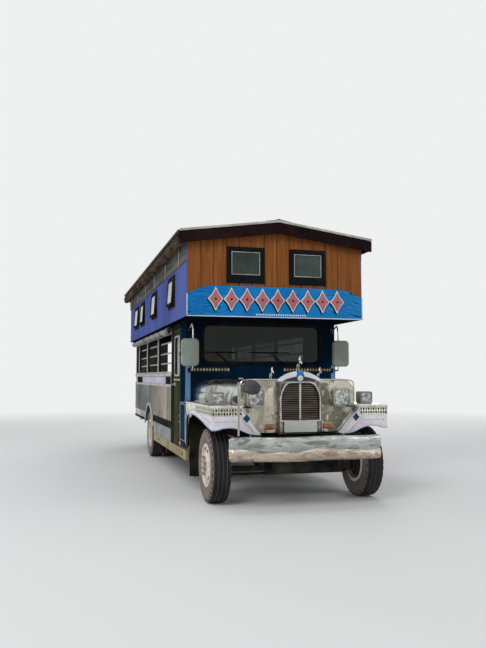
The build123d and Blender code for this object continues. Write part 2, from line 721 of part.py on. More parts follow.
def marker_lamps():
    """Oblong lamps low on the panel, and round ones on the cab's corners and at the back."""
    oblong = block((MARKER_X - MARKER_HALF, MARKER_X + MARKER_HALF), (NOSE_Y - 24, NOSE_Y),
                   (MARKER_Z - MARKER_HALF_HIGH, MARKER_Z + MARKER_HALF_HIGH))
    solids = pair(fillet(oblong.edges().filter_by(Axis.Y), 10))
    solids += pair(rod((BODY_HALF, 1430, 510), (BODY_HALF + 15, 1430, 510), 28))
    x = BODY_HALF - 100
    for z in (760, 900):
        solids += pair(rod((x, BODY_BACK, z), (x, BODY_BACK + 20, z), 45))
    return solids


def side_mirror():
    """Left mirror in its tall shell, on two arms from the cab wall."""
    x = BODY_HALF - 40
    y = COWL_Y - 216
    shell = block((x - 75, x + 145), (y - 35, y + 25), (1500, 1840))
    shell = fillet(shell.edges().filter_by(Axis.Y), 50)
    shell = fillet(shell.faces().sort_by(Axis.Y)[0].edges(), 20)
    upper = FilletPolyline((x, COWL_Y, 1975), (x, y, 1975), (x, y, 1800), radius=70)
    lower = FilletPolyline((x, COWL_Y, 1450), (x, y, 1450), (x, y, 1540), radius=45)
    for path in (upper, lower):
        shell += sweep(Plane(path @ 0, z_dir=(0, -1, 0)) * Circle(11), path)
    return shell


def guide_pole():
    """Pole on the right end of the bumper, with a round mirror."""
    x = -750
    y = bumper_bow(x, -BUMPER_REACH) + BUMPER_DEPTH / 2
    pole = rod((x, y, BUMPER_HIGH), (x, y, 1310), 10)
    arm = rod((x, y, 1264), (-615, y, 1264), 8)
    return pole + arm + rod((-615, y - 18, 1264), (-615, y + 10, 1264), 85)


def mirrors():
    return pair(side_mirror()) + [guide_pole()]


# Cab and body

def screen_outline(edge):
    return ((-SCREEN_HALF + edge, SCREEN_LOW + edge), (SCREEN_HALF - edge, SCREEN_LOW + edge),
            (SCREEN_HALF - edge, SCREEN_HIGH - edge), (-SCREEN_HALF + edge, SCREEN_HIGH - edge))


def cab_front_wall():
    """Wall behind the nose, with the windscreen's opening and the lugs of the hood's hinges."""
    whole = block((-BODY_HALF, BODY_HALF), (COWL_Y, COWL_Y + WALL), (RAIL_TOP, BODY_TOP))
    whole -= rounded("y", (COWL_Y - 5, COWL_Y + WALL + 5), screen_outline(0), (SCREEN_CORNER,) * 4)
    for _, lugs in hood_hinges():
        whole += lugs & block((-BODY_HALF, BODY_HALF), (0, COWL_Y), (RAIL_TOP, BODY_TOP))
    return whole


def windscreen():
    """Flat glass in the front wall."""
    middle = COWL_Y + WALL / 2
    return rounded("y", (middle - 4, middle + 4), screen_outline(SEAT), (SCREEN_CORNER - SEAT,) * 4)


def side_panels():
    """Cab quarter panels ahead of the doors, and long lower panels with the rear wheels' arches."""
    quarter = block((BODY_HALF - WALL, BODY_HALF), (COWL_Y + WALL, DOOR_FRONT), (DOOR_LOW, BODY_TOP))
    for _, lugs in door_hinges():
        quarter += lugs
    long_panel = block((BODY_HALF - WALL, BODY_HALF), (DOOR_BACK, BODY_BACK), (SIDE_LOW, WAIST_LOW))
    long_panel -= rod((BODY_HALF - WALL - 5, WHEELBASE, TYRE_RADIUS), (BODY_HALF + 5, WHEELBASE, TYRE_RADIUS),
                      ARCH_RADIUS)
    return pair(quarter) + pair(long_panel) + pair(arch_ring())


def arch_ring():
    """Flared ring that stands out round the rear wheel's arch."""
    x = (BODY_HALF + SEAT, BODY_HALF + ARCH_FLARE)
    centre = (WHEELBASE, TYRE_RADIUS)
    outer = rod((x[0], *centre), (x[1], *centre), ARCH_RADIUS + ARCH_RING)
    inner = rod((x[0] - 5, *centre), (x[1] + 5, *centre), ARCH_RADIUS)
    reach = ARCH_RADIUS + ARCH_RING + 5
    above = block((x[0] - 5, x[1] + 5), (WHEELBASE - reach, WHEELBASE + reach), (SIDE_LOW, WAIST_LOW))
    return (outer - inner) & above


def side_rails():
    """Waist rails under the windows and cant rails over the doors and windows."""
    x = (BODY_HALF - WALL, BODY_HALF)
    waist = block(x, (DOOR_BACK, BODY_BACK), (WAIST_LOW, WAIST_HIGH))
    cant = block(x, (DOOR_FRONT, BODY_BACK), (WINDOW_HIGH, BODY_TOP))
    return pair(waist) + pair(cant)


def window_posts():
    """Posts between the waist rail and the cant rail."""
    solids = []
    for front, back in POSTS:
        solids += pair(block((BODY_HALF - WALL, BODY_HALF), (front, back), (WAIST_HIGH, WINDOW_HIGH)))
    return solids


def window_bars():
    """Three long bars inside the posts on each side."""
    x = BODY_HALF - WALL - 12
    solids = []
    for z in BAR_HEIGHTS:
        solids += pair(rod((x, DOOR_BACK + 20, z), (x, BODY_BACK - WALL - 5, z), 12 - SEAT))
    return solids


def cab_door():
    """Left cab door with its window and hinge barrels."""
    whole = block((BODY_HALF - WALL + 5, BODY_HALF), (DOOR_FRONT + GAP, DOOR_BACK - GAP),
                  (DOOR_LOW, DOOR_HIGH - GAP))
    whole -= rounded("x", (BODY_HALF - WALL, BODY_HALF + 5),
                     ((DOOR_FRONT + 80, 1400), (DOOR_BACK - 80, 1400), (DOOR_BACK - 80, 1900),
                      (DOOR_FRONT + 80, 1900)), (50,) * 4)
    for barrel, _ in door_hinges():
        whole += barrel
    return whole


def floor():
    """Floor on its cross bearers, raised into boxes over the rear wheels."""
    inside = BODY_HALF - WALL
    under = FLOOR_TOP - FLOOR_THICKNESS
    front = COWL_Y + WALL
    back = BODY_BACK - WALL
    whole = block((-inside, inside), (front, back), (under, FLOOR_TOP))
    box_span = (WHEELBASE - ARCH_RADIUS - SHEET, WHEELBASE + ARCH_RADIUS + SHEET)
    for side in (-1, 1):
        outer = sorted((side * WHEEL_BOX_HALF, side * inside))
        hollow = sorted((side * (WHEEL_BOX_HALF + SHEET), side * (inside + 5)))
        whole += block(outer, box_span, (under, WHEEL_BOX_HIGH))
        whole -= block(hollow, (box_span[0] + SHEET, box_span[1] - SHEET),
                       (under - 5, WHEEL_BOX_HIGH - SHEET))
    for y in (front,) + BEARERS + (back - BEARER,):
        whole += block((-inside, inside), (y, y + BEARER), (RAIL_TOP, under))
    return whole


def side_sills():
    """Low rails under the body sides, hung on straps from the floor's bearers."""
    rail = block((BODY_HALF - WALL, BODY_HALF), (COWL_Y, WHEELBASE - ARCH_RADIUS - 60), (SILL_LOW, SILL_HIGH))
    for y in SILL_BEARERS:
        rail += block((BODY_HALF - WALL - 12, BODY_HALF - WALL), (y, y + BEARER), (SILL_LOW, RAIL_TOP))
    return pair(rail)


def rear_wall():
    """Wall panels on both sides of the open rear doorway."""
    return pair(block((DOORWAY_HALF, BODY_HALF - WALL), (BODY_BACK - WALL, BODY_BACK), (RAIL_TOP, BODY_TOP)))


def rear_bumper():
    """Rear beam with the entrance step and the towing plate."""
    half = BODY_HALF - 100
    whole = block((-half, half), (RAIL_BACK, RAIL_BACK + 60), (500, 620))
    whole += block((-330, 330), (RAIL_BACK + 60, RAIL_BACK + 230), (590, 615))
    whole += block((-70, 70), (RAIL_BACK + 60, RAIL_BACK + 310), (500, 522))
    return whole - rod((0, RAIL_BACK + 270, 490), (0, RAIL_BACK + 270, 530), 16)


def rear_ladder():
    """Ladder beside the doorway, from the rear bumper up to the loft."""
    middle = DOORWAY_HALF + LADDER_STILE_GAP / 2 + 120
    y = LOFT_BACK + LADDER_STANDOFF
    stiles = [middle - LADDER_STILE_GAP / 2, middle + LADDER_STILE_GAP / 2]
    whole = rod((stiles[0], y, LADDER_LOW), (stiles[0], y, LADDER_HIGH), LADDER_RADIUS)
    whole += rod((stiles[1], y, LADDER_LOW), (stiles[1], y, LADDER_HIGH), LADDER_RADIUS)
    for place in range(LADDER_RUNGS):
        z = LADDER_LOW + 60 + place * LADDER_PITCH
        whole += rod((stiles[0], y, z), (stiles[1], y, z), LADDER_RADIUS - 3)
    for x in stiles:
        for z, back in ((LADDER_LOW + 120, BODY_BACK), (1900, BODY_BACK), (2250, LOFT_BACK)):
            whole += rod((x, back + SEAT, z), (x, y, z), LADDER_RADIUS - 3)
    return whole


def column_way():
    """Unit vector up the steering column, towards the driver."""
    lean = math.radians(COLUMN_LEAN)
    return Vector(0, math.cos(lean), math.sin(lean))


def dashboard():
    """Dashboard across the cab, and the steering column on its foot."""
    wall = COWL_Y + WALL
    half = BODY_HALF - WALL - 5
    depth = DASH_DEPTH
    dash = prism("x", (-half, half), ((wall, DASH_LOW), (wall + depth - 50, DASH_LOW),
                                      (wall + depth, DASH_HIGH - 70), (wall + depth - 30, DASH_HIGH),
                                      (wall, DASH_HIGH)))
    way = column_way()
    centre = Vector(*STEERING_CENTRE)
    top = centre - way * 41
    foot = centre - way * ((STEERING_CENTRE[1] - wall - 20) / way.Y)
    x, z = foot.X, foot.Z
    column = rod(tuple(foot), tuple(top), 22) + block((x - 40, x + 40), (wall, wall + 30), (z - 45, z + 45))
    return [dash, column]


def steering_wheel():
    """Rim, three spokes and hub."""
    place = Plane(STEERING_CENTRE, x_dir=(1, 0, 0), z_dir=column_way()).location
    whole = Torus(190, 13) + Pos(0, 0, -15) * Cylinder(38, 50)
    for turn in (90, 210, 330):
        whole += Rot(0, 0, turn) * Pos(100, 0, 0) * Box(180, 30, 10)
    return place * whole


def seat_frames():
    """Boarded side benches, and the cab bench with its back board."""
    board = block((BENCH_FRONT, BODY_HALF - WALL), (BENCH_START, BENCH_END), (BENCH_TOP - SHEET, BENCH_TOP))
    board += block((BENCH_FRONT, BENCH_FRONT + 18), (BENCH_START, BENCH_END), (FLOOR_TOP, BENCH_TOP))
    across = (-CAB_SEAT_HALF, CAB_SEAT_HALF)
    cab = block(across, (CAB_SEAT_FRONT, CAB_SEAT_BACK), (FLOOR_TOP, BENCH_TOP))
    cab += block(across, (CAB_SEAT_BACK, CAB_SEAT_BACK + SHEET), (FLOOR_TOP, CAB_BACK_HIGH))
    return pair(board) + [cab]


def seat_cushions():
    """Seat and back pads of the side benches and of the cab bench."""
    low = BENCH_TOP + SEAT
    side_pad = block((BENCH_FRONT + 5, BODY_HALF - WALL - 55), (BENCH_START + 10, BENCH_END - 10),
                     (low, low + CUSHION))
    back_pad = block((BODY_HALF - WALL - 50, BODY_HALF - WALL - SEAT), (BENCH_START + 10, BENCH_END - 10),
                     (low, WAIST_HIGH - 20))
    across = (10 - CAB_SEAT_HALF, CAB_SEAT_HALF - 10)
    cab_pad = block(across, (CAB_SEAT_FRONT + 5, CAB_SEAT_BACK - 95), (low, low + 100))
    cab_back = block(across, (CAB_SEAT_BACK - 90, CAB_SEAT_BACK - SEAT), (low, CAB_BACK_HIGH - 10))
    pads = []
    for pad in pair(side_pad) + pair(back_pad) + [cab_pad, cab_back]:
        pads.append(fillet(pad.edges(), 15))
    return pads


def mudflaps():
    """Flaps behind the front and the rear wheels."""
    front = block((FENDER_HALF - 260, FENDER_HALF - SHEET), (COWL_Y - 141, COWL_Y - 133),
                  (FLAP_LOW, FENDER_TOP - SHEET))
    y = WHEELBASE + ARCH_RADIUS + SHEET
    rear = block((WHEEL_BOX_HALF + 40, BODY_HALF - WALL), (y, y + 8), (FLAP_LOW, FLOOR_TOP - FLOOR_THICKNESS))
    return pair(front) + pair(rear)


# Loft

def loft_floor():
    return block((-LOFT_HALF, LOFT_HALF), (LOFT_FRONT, LOFT_BACK), (BODY_TOP, BODY_TOP + LOFT_FLOOR))


def loft_sides():
    """Side walls up to the roof sheet, with their windows cut."""
    inner = LOFT_HALF - LOFT_BOARD
    low = BODY_TOP + LOFT_FLOOR
    wall = prism("y", (LOFT_FRONT + LOFT_BOARD, LOFT_BACK - LOFT_BOARD),
                 ((inner, low), (LOFT_HALF, low), (LOFT_HALF, roof_under(LOFT_HALF) - SEAT),
                  (inner, roof_under(inner) - SEAT)))
    for front, back in LOFT_WINDOWS:
        wall -= block((inner - 5, LOFT_HALF + 5), (front, back), (PANE_LOW, PANE_HIGH))
    return pair(wall)


def gable(y):
    """Board-lined end wall under the roof."""
    low = BODY_TOP + LOFT_FLOOR
    edge = roof_under(LOFT_HALF) - SEAT
    top = roof_under(0) - SEAT
    return prism("y", (y, y + LOFT_BOARD), ((-LOFT_HALF, low), (LOFT_HALF, low), (LOFT_HALF, edge), (0, top),
                                            (-LOFT_HALF, edge)))


def loft_gables():
    """Front wall with its two windows, and rear wall with its doorway."""
    front = gable(LOFT_FRONT)
    inner, outer, low, high = FRONT_WINDOW
    for side in (-1, 1):
        x = sorted((side * inner, side * outer))
        front -= block(x, (LOFT_FRONT - 5, LOFT_FRONT + LOFT_BOARD + 5), (low, high))
    rear = gable(LOFT_BACK - LOFT_BOARD)
    rear -= block((-LOFT_DOOR_HALF, LOFT_DOOR_HALF), (LOFT_BACK - LOFT_BOARD - 5, LOFT_BACK + 5),
                  (BODY_TOP, LOFT_DOOR_HIGH))
    for _, lugs in loft_door_hinges():
        rear += lugs
    return [front, rear]


def loft_door():
    """Rear door of the loft with its hinge barrels."""
    whole = block((-LOFT_DOOR_HALF + GAP, LOFT_DOOR_HALF - GAP), (LOFT_BACK - LOFT_BOARD, LOFT_BACK),
                  (BODY_TOP + LOFT_FLOOR + GAP, LOFT_DOOR_HIGH - GAP))
    for barrel, _ in loft_door_hinges():
        whole += barrel
    return whole


def loft_windows():
    """Framed panes in the side walls and in the front wall."""
    x = (LOFT_HALF - LOFT_BOARD, LOFT_HALF)
    solids = []
    for front, back in LOFT_WINDOWS:
        pane = block(x, (front + SEAT, back - SEAT), (PANE_LOW + SEAT, PANE_HIGH - SEAT))
        pane -= block((x[1] - 8, x[1] + 5), (front + 35, back - 35), (PANE_LOW + 35, PANE_HIGH - 35))
        solids += pair(pane)
    inner, outer, low, high = FRONT_WINDOW
    pane = block((inner + SEAT, outer - SEAT), (LOFT_FRONT, LOFT_FRONT + LOFT_BOARD),
                 (low + SEAT, high - SEAT))
    pane -= block((inner + 30, outer - 30), (LOFT_FRONT - 5, LOFT_FRONT + 8), (low + 30, high - 30))
    return solids + pair(pane)


def sign_board():
    """Board across the loft's front, with a raised middle."""
    y = (LOFT_FRONT - SIGN_DEPTH, LOFT_FRONT)
    half = LOFT_HALF + 5
    outline = ((-half, BODY_TOP), (half, BODY_TOP), (half, SIGN_END_TOP), (SIGN_FLAT_HALF, SIGN_TOP),
               (-SIGN_FLAT_HALF, SIGN_TOP), (-half, SIGN_END_TOP))
    return rounded("y", y, outline, (0, 0, 60, 150, 150, 60))


def roof():
    """Two sloping sheets that meet at the ridge, under a ridge cap."""
    crack = 2
    sheet = prism("y", (ROOF_FRONT, ROOF_REACH),
                  ((crack, roof_under(crack)), (EAVES_HALF, roof_under(EAVES_HALF)), (EAVES_HALF, EAVES_Z),
                   (crack, roof_under(crack) + ROOF_SHEET)))
    low = [(x, roof_under(x) + ROOF_SHEET + SEAT) for x in (-RIDGE_CAP_HALF, 0, RIDGE_CAP_HALF)]
    cap = prism("y", (ROOF_FRONT, ROOF_REACH), low + [(x, z + RIDGE_CAP) for x, z in reversed(low)])
    return pair(sheet) + [cap]


def fascia():
    """Boards under the edges of the roof, along both sides and across both ends."""
    inner = EAVES_HALF - FASCIA
    ends = ((ROOF_FRONT, ROOF_FRONT + FASCIA), (ROOF_REACH - FASCIA, ROOF_REACH))
    low = roof_under(EAVES_HALF) - FASCIA_DROP
    side = prism("y", (ends[0][1] + 1, ends[1][0] - 1),
                 ((inner, low), (EAVES_HALF, low), (EAVES_HALF, roof_under(EAVES_HALF) - SEAT),
                  (inner, roof_under(inner) - SEAT)))
    solids = pair(side)
    for span in ends:
        top = [(x, roof_under(x) - SEAT) for x in (-EAVES_HALF, 0, EAVES_HALF)]
        solids.append(prism("y", span, top + [(x, z - FASCIA_DROP) for x, z in reversed(top)]))
    return solids


def tarp_rolls():
    """Rolled rain curtains under the loft, along both sides."""
    x = BODY_HALF + ROLL_RADIUS + SEAT
    z = BODY_TOP - ROLL_RADIUS - SEAT
    return pair(rod((x, DOOR_BACK + 90, z), (x, BODY_BACK - 100, z), ROLL_RADIUS))


def main():
    os.makedirs("parts", exist_ok=True)
    write("frame", *frame())
    write("front_axle", front_axle())
    write("rear_axle", rear_axle())
    write("leaf_springs", *leaf_springs())
    write("engine", *engine())
    write("driveline", driveline())
    write("exhaust", exhaust())
    write("fuel_tank", fuel_tank())
    write("tie_rod", tie_rod())
    for side, name in ((-1, "right"), (1, "left")):
        write("knuckle_" + name, knuckle(side))
        write("front_tyre_" + name, tyre(side * FRONT_TRACK_HALF, 0, side))
        write("front_rim_" + name, front_rim(side))
        write("rear_tyres_" + name, tyre(side * REAR_OUTER_HALF, WHEELBASE, side),
              tyre(side * REAR_INNER_HALF, WHEELBASE, side))
        write("rear_rims_" + name, rear_rims(side))
    write("front_bumper", front_bumper())
    write("front_panel", front_panel())
    write("grille_shell", grille_shell())
    write("grille_bars", grille_bars())
    write("nose_sides", *nose_sides())
    write("front_fenders", *pair(front_fender()))
    write("hood", hood())
    write("hood_figures", *hood_figures())
    write("headlamps", *headlamps())
    write("marker_lamps", *marker_lamps())
    write("mirrors", *mirrors())
    write("cab_front_wall", cab_front_wall())
    write("windscreen", windscreen())
    write("side_panels", *side_panels())
    write("side_rails", *side_rails())
    write("window_posts", *window_posts())
    write("window_bars", *window_bars())
    door = cab_door()
    write("cab_door_left", door)
    write("cab_door_right", other_side(door))
    write("floor", floor())
    write("side_sills", *side_sills())
    write("rear_wall", *rear_wall())
    write("rear_bumper", rear_bumper())
    write("rear_ladder", rear_ladder())
    write("dashboard", *dashboard())
    write("steering_wheel", steering_wheel())
    write("seat_frames", *seat_frames())
    write("seat_cushions", *seat_cushions())
    write("mudflaps", *mudflaps())
    write("loft_floor", loft_floor())
    write("loft_sides", *loft_sides())
    write("loft_gables", *loft_gables())
    write("loft_door", loft_door())
    write("loft_windows", *loft_windows())
    write("sign_board", sign_board())
    write("roof", *roof())
    write("fascia", *fascia())
    write("tarp_rolls", *tarp_rolls())


main()
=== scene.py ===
import math

import bmesh
import bpy
from mathutils import Matrix, Vector, noise


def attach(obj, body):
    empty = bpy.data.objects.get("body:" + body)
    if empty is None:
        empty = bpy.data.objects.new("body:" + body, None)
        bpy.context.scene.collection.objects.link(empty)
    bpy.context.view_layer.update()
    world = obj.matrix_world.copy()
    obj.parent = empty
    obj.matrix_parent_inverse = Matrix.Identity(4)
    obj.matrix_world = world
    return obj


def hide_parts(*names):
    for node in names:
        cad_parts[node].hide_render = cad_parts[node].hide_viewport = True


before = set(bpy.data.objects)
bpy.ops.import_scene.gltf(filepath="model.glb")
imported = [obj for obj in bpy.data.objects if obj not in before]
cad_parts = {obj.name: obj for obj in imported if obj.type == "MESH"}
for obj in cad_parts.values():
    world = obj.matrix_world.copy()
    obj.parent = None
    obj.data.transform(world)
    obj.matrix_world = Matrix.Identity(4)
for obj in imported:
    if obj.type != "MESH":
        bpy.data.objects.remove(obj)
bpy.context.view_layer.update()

# A jeepney with a loft. Lengths are metres. Places are given from the front axle, as in the part's source.
AXLE_Y = -3.245
TYRE_R = 0.4
FRONT_WHEEL_X = 0.875
REAR_Y = 4.6
TWIN_X = (0.887, 0.642)     # outer and inner rear wheel
FENDER_X = 1.0002           # just outside the fenders' and the cab's skin
SIDE_X = 1.0003             # and outside the body's sides
EAVES = 1.22                # half width over the roof
EAVES_Z = 3.09
RIDGE_Z = 3.26

# The camera that took the photo, as fitted to it
CAMERA = Vector((-2.558, -10.711, 1.364))
CAMERA_TURN = (94.43, 0, -15.06)
CAMERA_LENS = 38.12
BACKDROP = (0.86, 0.87, 0.87, 1)


def at(x, y, z):
    """Point with y counted back from the front axle."""
    return Vector((x, AXLE_Y + y, z))


# Stage and camera

def tone(red, green, blue):
    """Colour of a paint chart's numbers, 0 to 255, as the shader wants it."""
    def step(value):
        value /= 255
        return value / 12.92 if value <= 0.04045 else ((value + 0.055) / 1.055) ** 2.4
    return (step(red), step(green), step(blue), 1.0)


def add(tree, kind, settings=None, **values):
    """New node. settings are its own options. values go to its sockets by name, or by number as i0, i1."""
    node = tree.nodes.new(kind)
    for key, value in (settings or {}).items():
        setattr(node, key, value)
    for key, value in values.items():
        socket = node.inputs[int(key[1:])] if key[1:].isdigit() else node.inputs[key.replace("_", " ")]
        if isinstance(value, bpy.types.NodeSocket):
            tree.links.new(value, socket)
        else:
            socket.default_value = value
    return node


def join(tree, value, socket):
    tree.links.new(value, socket)


def set_camera():
    data = bpy.data.cameras.new("camera")
    data.sensor_width = 36
    data.lens = CAMERA_LENS
    camera = bpy.data.objects.new("camera", data)
    camera.location = CAMERA
    camera.rotation_euler = [math.radians(turn) for turn in CAMERA_TURN]
    bpy.context.scene.collection.objects.link(camera)
    bpy.context.scene.camera = camera


def set_lamps():
    """Large soft lamps: high in front on the near side, low fill on the other, and one from behind."""
    lamps = (("key", (-7.0, -9.5, 8.5), 5.0, 520), ("fill", (8.5, -8.0, 4.5), 6.0, 150),
             ("top", (0.0, 1.0, 10.0), 9.0, 330), ("back", (5.0, 11.0, 7.0), 7.0, 300),
             ("side", (-11.0, 3.0, 4.0), 7.0, 190))
    for name, place, size, power in lamps:
        data = bpy.data.lights.new(name, "AREA")
        data.size = size
        data.energy = power
        lamp = bpy.data.objects.new(name, data)
        lamp.location = place
        lamp.rotation_euler = (Vector((0, -0.5, 1.3)) - Vector(place)).to_track_quat("-Z", "Y").to_euler()
        bpy.context.scene.collection.objects.link(lamp)


def here(tree):
    """Where a point lies on its object."""
    return add(tree, "ShaderNodeTexCoord").outputs["Object"]


def seen_rays(tree):
    """1 for rays that see the background: from the camera, in metal and through glass."""
    path = add(tree, "ShaderNodeLightPath")
    first = add(tree, "ShaderNodeMath", {"operation": "MAXIMUM"}, i0=path.outputs["Is Camera Ray"],
                i1=path.outputs["Is Glossy Ray"])
    return add(tree, "ShaderNodeMath", {"operation": "MAXIMUM"}, i0=first.outputs[0],
               i1=path.outputs["Is Transmission Ray"]).outputs[0]


def set_world():
    world = bpy.data.worlds.new("studio")
    bpy.context.scene.world = world
    world.use_nodes = True
    tree = world.node_tree
    tree.nodes.clear()
    seen = seen_rays(tree)
    light = add(tree, "ShaderNodeBackground", Color=(0.93, 0.96, 1.0, 1), Strength=0.36)
    backdrop = add(tree, "ShaderNodeBackground", Color=BACKDROP, Strength=1.0)
    mixed = add(tree, "ShaderNodeMixShader", i0=seen, i1=light.outputs[0], i2=backdrop.outputs[0])
    add(tree, "ShaderNodeOutputWorld", Surface=mixed.outputs[0])


def set_floor():
    bm = bmesh.new()
    bmesh.ops.create_grid(bm, x_segments=1, y_segments=1, size=60)
    mesh = bpy.data.meshes.new("floor_plane")
    bm.to_mesh(mesh)
    bm.free()
    ground = bpy.data.objects.new("studio_floor", mesh)
    bpy.context.scene.collection.objects.link(ground)
    material = bpy.data.materials.new("studio_floor")
    material.use_nodes = True
    tree = material.node_tree
    paint = tree.nodes["Principled BSDF"]
    paint.inputs["Base Color"].default_value = (0.80, 0.80, 0.79, 1)
    paint.inputs["Roughness"].default_value = 0.9
    far = add(tree, "ShaderNodeVectorMath", {"operation": "LENGTH"}, i0=here(tree))
    fade = add(tree, "ShaderNodeMapRange", {"interpolation_type": "SMOOTHSTEP"}, i0=far.outputs["Value"],
               i1=4.0, i2=19.0, i3=0.0, i4=1.0)
    share = add(tree, "ShaderNodeMath", {"operation": "MULTIPLY"}, i0=fade.outputs[0], i1=seen_rays(tree))
    glow = add(tree, "ShaderNodeEmission", Color=BACKDROP, Strength=1.0)
    mixed = add(tree, "ShaderNodeMixShader", i0=share.outputs[0], i1=paint.outputs[0], i2=glow.outputs[0])
    join(tree, mixed.outputs[0], tree.nodes["Material Output"].inputs["Surface"])
    mesh.materials.append(material)


# Shared effects

def effect(name, inputs, outputs):
    """Empty shader group. Inputs are (name, kind, value) and outputs (name, kind)."""
    tree = bpy.data.node_groups.new(name, "ShaderNodeTree")
    for label, kind, value in inputs:
        socket = tree.interface.new_socket(name=label, in_out="INPUT", socket_type="NodeSocket" + kind)
        socket.default_value = value
    for label, kind in outputs:
        tree.interface.new_socket(name=label, in_out="OUTPUT", socket_type="NodeSocket" + kind)
    return tree, tree.nodes.new("NodeGroupInput").outputs, tree.nodes.new("NodeGroupOutput").inputs


def blend_colour(tree, share, first, second, way="MIX"):
    node = add(tree, "ShaderNodeMix", {"data_type": "RGBA", "blend_type": way}, i0=share, i6=first, i7=second)
    return node.outputs[2]


def figure(tree, way, first, second, clamp=False):
    """Sum, product or other result of two numbers."""
    return add(tree, "ShaderNodeMath", {"operation": way, "use_clamp": clamp}, i0=first, i1=second).outputs[0]


def stretched(tree, place, shares):
    return add(tree, "ShaderNodeVectorMath", {"operation": "MULTIPLY"}, i0=place, i1=shares).outputs[0]


def part_of(tree, vector, axis):
    """One of a vector's three numbers."""
    return add(tree, "ShaderNodeSeparateXYZ", i0=vector).outputs[axis]


def face_way(tree, axis):
    """How far a face looks along an axis, -1 to 1."""
    return part_of(tree, add(tree, "ShaderNodeNewGeometry").outputs["Normal"], axis)


def ranged(tree, value, low, high, start=0.0, end=1.0):
    """A number's range from low to high, moved to start and end and held there."""
    return add(tree, "ShaderNodeMapRange", i0=value, i1=low, i2=high, i3=start, i4=end).outputs[0]


def clouds(tree, place, scale, low, high, detail=4.0, swirl=0.0):
    """Soft patches: 0 where the noise is under low, and 1 above high."""
    cloud = add(tree, "ShaderNodeTexNoise", Vector=place, Scale=scale, Detail=detail, Roughness=0.6,
                Distortion=swirl)
    return ranged(tree, cloud.outputs["Fac"], low, high)


def patch_effect():
    """Three tones of a finish in patches, the third one crisper, as painted reflection on metal, and small
    chips.
    """
    tree, given, made = effect("patches", (("First", "Color", (1, 1, 1, 1)),
                                           ("Second", "Color", (0, 0, 0, 1)), ("Chip", "Color", (0, 0, 0, 1)),
                                           ("Scale", "Float", 2.0), ("Stretch", "Vector", (1, 1, 1)),
                                           ("Chips", "Float", 0.2), ("Third", "Color", (0, 0, 0, 1)),
                                           ("Thirds", "Float", 0.0), ("Swirl", "Float", 0.0)),
                               (("Color", "Color"), ("Patch", "Float")))
    place = here(tree)
    long = stretched(tree, place, given["Stretch"])
    soft = clouds(tree, long, given["Scale"], 0.38, 0.62, swirl=given["Swirl"])
    away = add(tree, "ShaderNodeVectorMath", {"operation": "ADD"}, i0=long, i1=(3.7, 1.9, 5.3)).outputs[0]
    crisp = clouds(tree, away, figure(tree, "MULTIPLY", given["Scale"], 1.3), 0.53, 0.60, 3.0, given["Swirl"])
    crisp = figure(tree, "MULTIPLY", crisp, given["Thirds"])
    fine = clouds(tree, place, 38.0, 0.60, 0.68, 8.0)
    wide = clouds(tree, place, 3.1, 0.45, 0.6)
    chips = figure(tree, "MULTIPLY", figure(tree, "MULTIPLY", fine, wide), given["Chips"], True)
    base = blend_colour(tree, crisp, blend_colour(tree, soft, given["First"], given["Second"]),
                        given["Third"])
    join(tree, blend_colour(tree, chips, base, given["Chip"]), made["Color"])
    join(tree, soft, made["Patch"])
    return tree


def dust_effect():
    """Road dust: strongest near the road and on upward faces."""
    tree, given, made = effect("road_dust", (("Color", "Color", (1, 1, 1, 1)),
                                             ("Dust", "Color", (0.3, 0.27, 0.22, 1)),
                                             ("Amount", "Float", 0.4), ("Reach", "Float", 1.1)),
                               (("Color", "Color"), ("Mask", "Float")))
    place = here(tree)
    low = ranged(tree, part_of(tree, place, 2), 0.0, given["Reach"], 1.0, 0.25)
    up = ranged(tree, face_way(tree, 2), 0.2, 1.0, 0.0, 0.7)
    cloud = clouds(tree, place, 5.0, 0.35, 0.7, 6.0)
    whole = figure(tree, "ADD", low, up, True)
    mask = figure(tree, "MULTIPLY", figure(tree, "MULTIPLY", whole, cloud), given["Amount"], True)
    join(tree, blend_colour(tree, mask, given["Color"], given["Dust"]), made["Color"])
    join(tree, mask, made["Mask"])
    return tree


def relief_effect():
    """Height of dents and of fine brushing or scratches."""
    tree, given, made = effect("dents_and_scratches", (("Dents", "Float", 0.5), ("Dent Scale", "Float", 4.0),
                                                       ("Scratches", "Float", 0.3),
                                                       ("Stretch", "Vector", (4, 4, 90))),
                               (("Height", "Float"),))
    place = here(tree)
    dent = add(tree, "ShaderNodeTexNoise", Vector=place, Scale=given["Dent Scale"], Detail=2.0).outputs["Fac"]
    long = stretched(tree, place, given["Stretch"])
    line = add(tree, "ShaderNodeTexNoise", Vector=long, Scale=3.0, Detail=6.0, Roughness=0.7).outputs["Fac"]
    height = figure(tree, "ADD", figure(tree, "MULTIPLY", dent, given["Dents"]),
                    figure(tree, "MULTIPLY", line, given["Scratches"]))
    join(tree, height, made["Height"])
    return tree


EFFECTS = {"patches": patch_effect(), "dust": dust_effect(), "relief": relief_effect()}


def use(tree, name, **values):
    """One of the shared effects, placed in a material."""
    return add(tree, "ShaderNodeGroup", {"node_tree": EFFECTS[name]}, **values).outputs


FINISHES = {}


def blank(name):
    """New material: its tree and its shader."""
    material = bpy.data.materials.new(name)
    material.use_nodes = True
    FINISHES[name] = material
    return material.node_tree, material.node_tree.nodes["Principled BSDF"]


def fixed(shader, **values):
    """Plain values of a shader."""
    for name, value in values.items():
        shader.inputs[name.replace("_", " ")].default_value = value


def coloured(tree, shader, colour):
    join(tree, colour, shader.inputs["Base Color"])


def bumped(tree, shader, height, depth):
    """Relief of a height in metres."""
    bump = add(tree, "ShaderNodeBump", Height=height, Strength=1.0, Distance=depth)
    join(tree, bump.outputs[0], shader.inputs["Normal"])


def varied(tree, shader, share, low, high):
    """Roughness between two values."""
    join(tree, ranged(tree, share, 0.0, 1.0, low, high), shader.inputs["Roughness"])


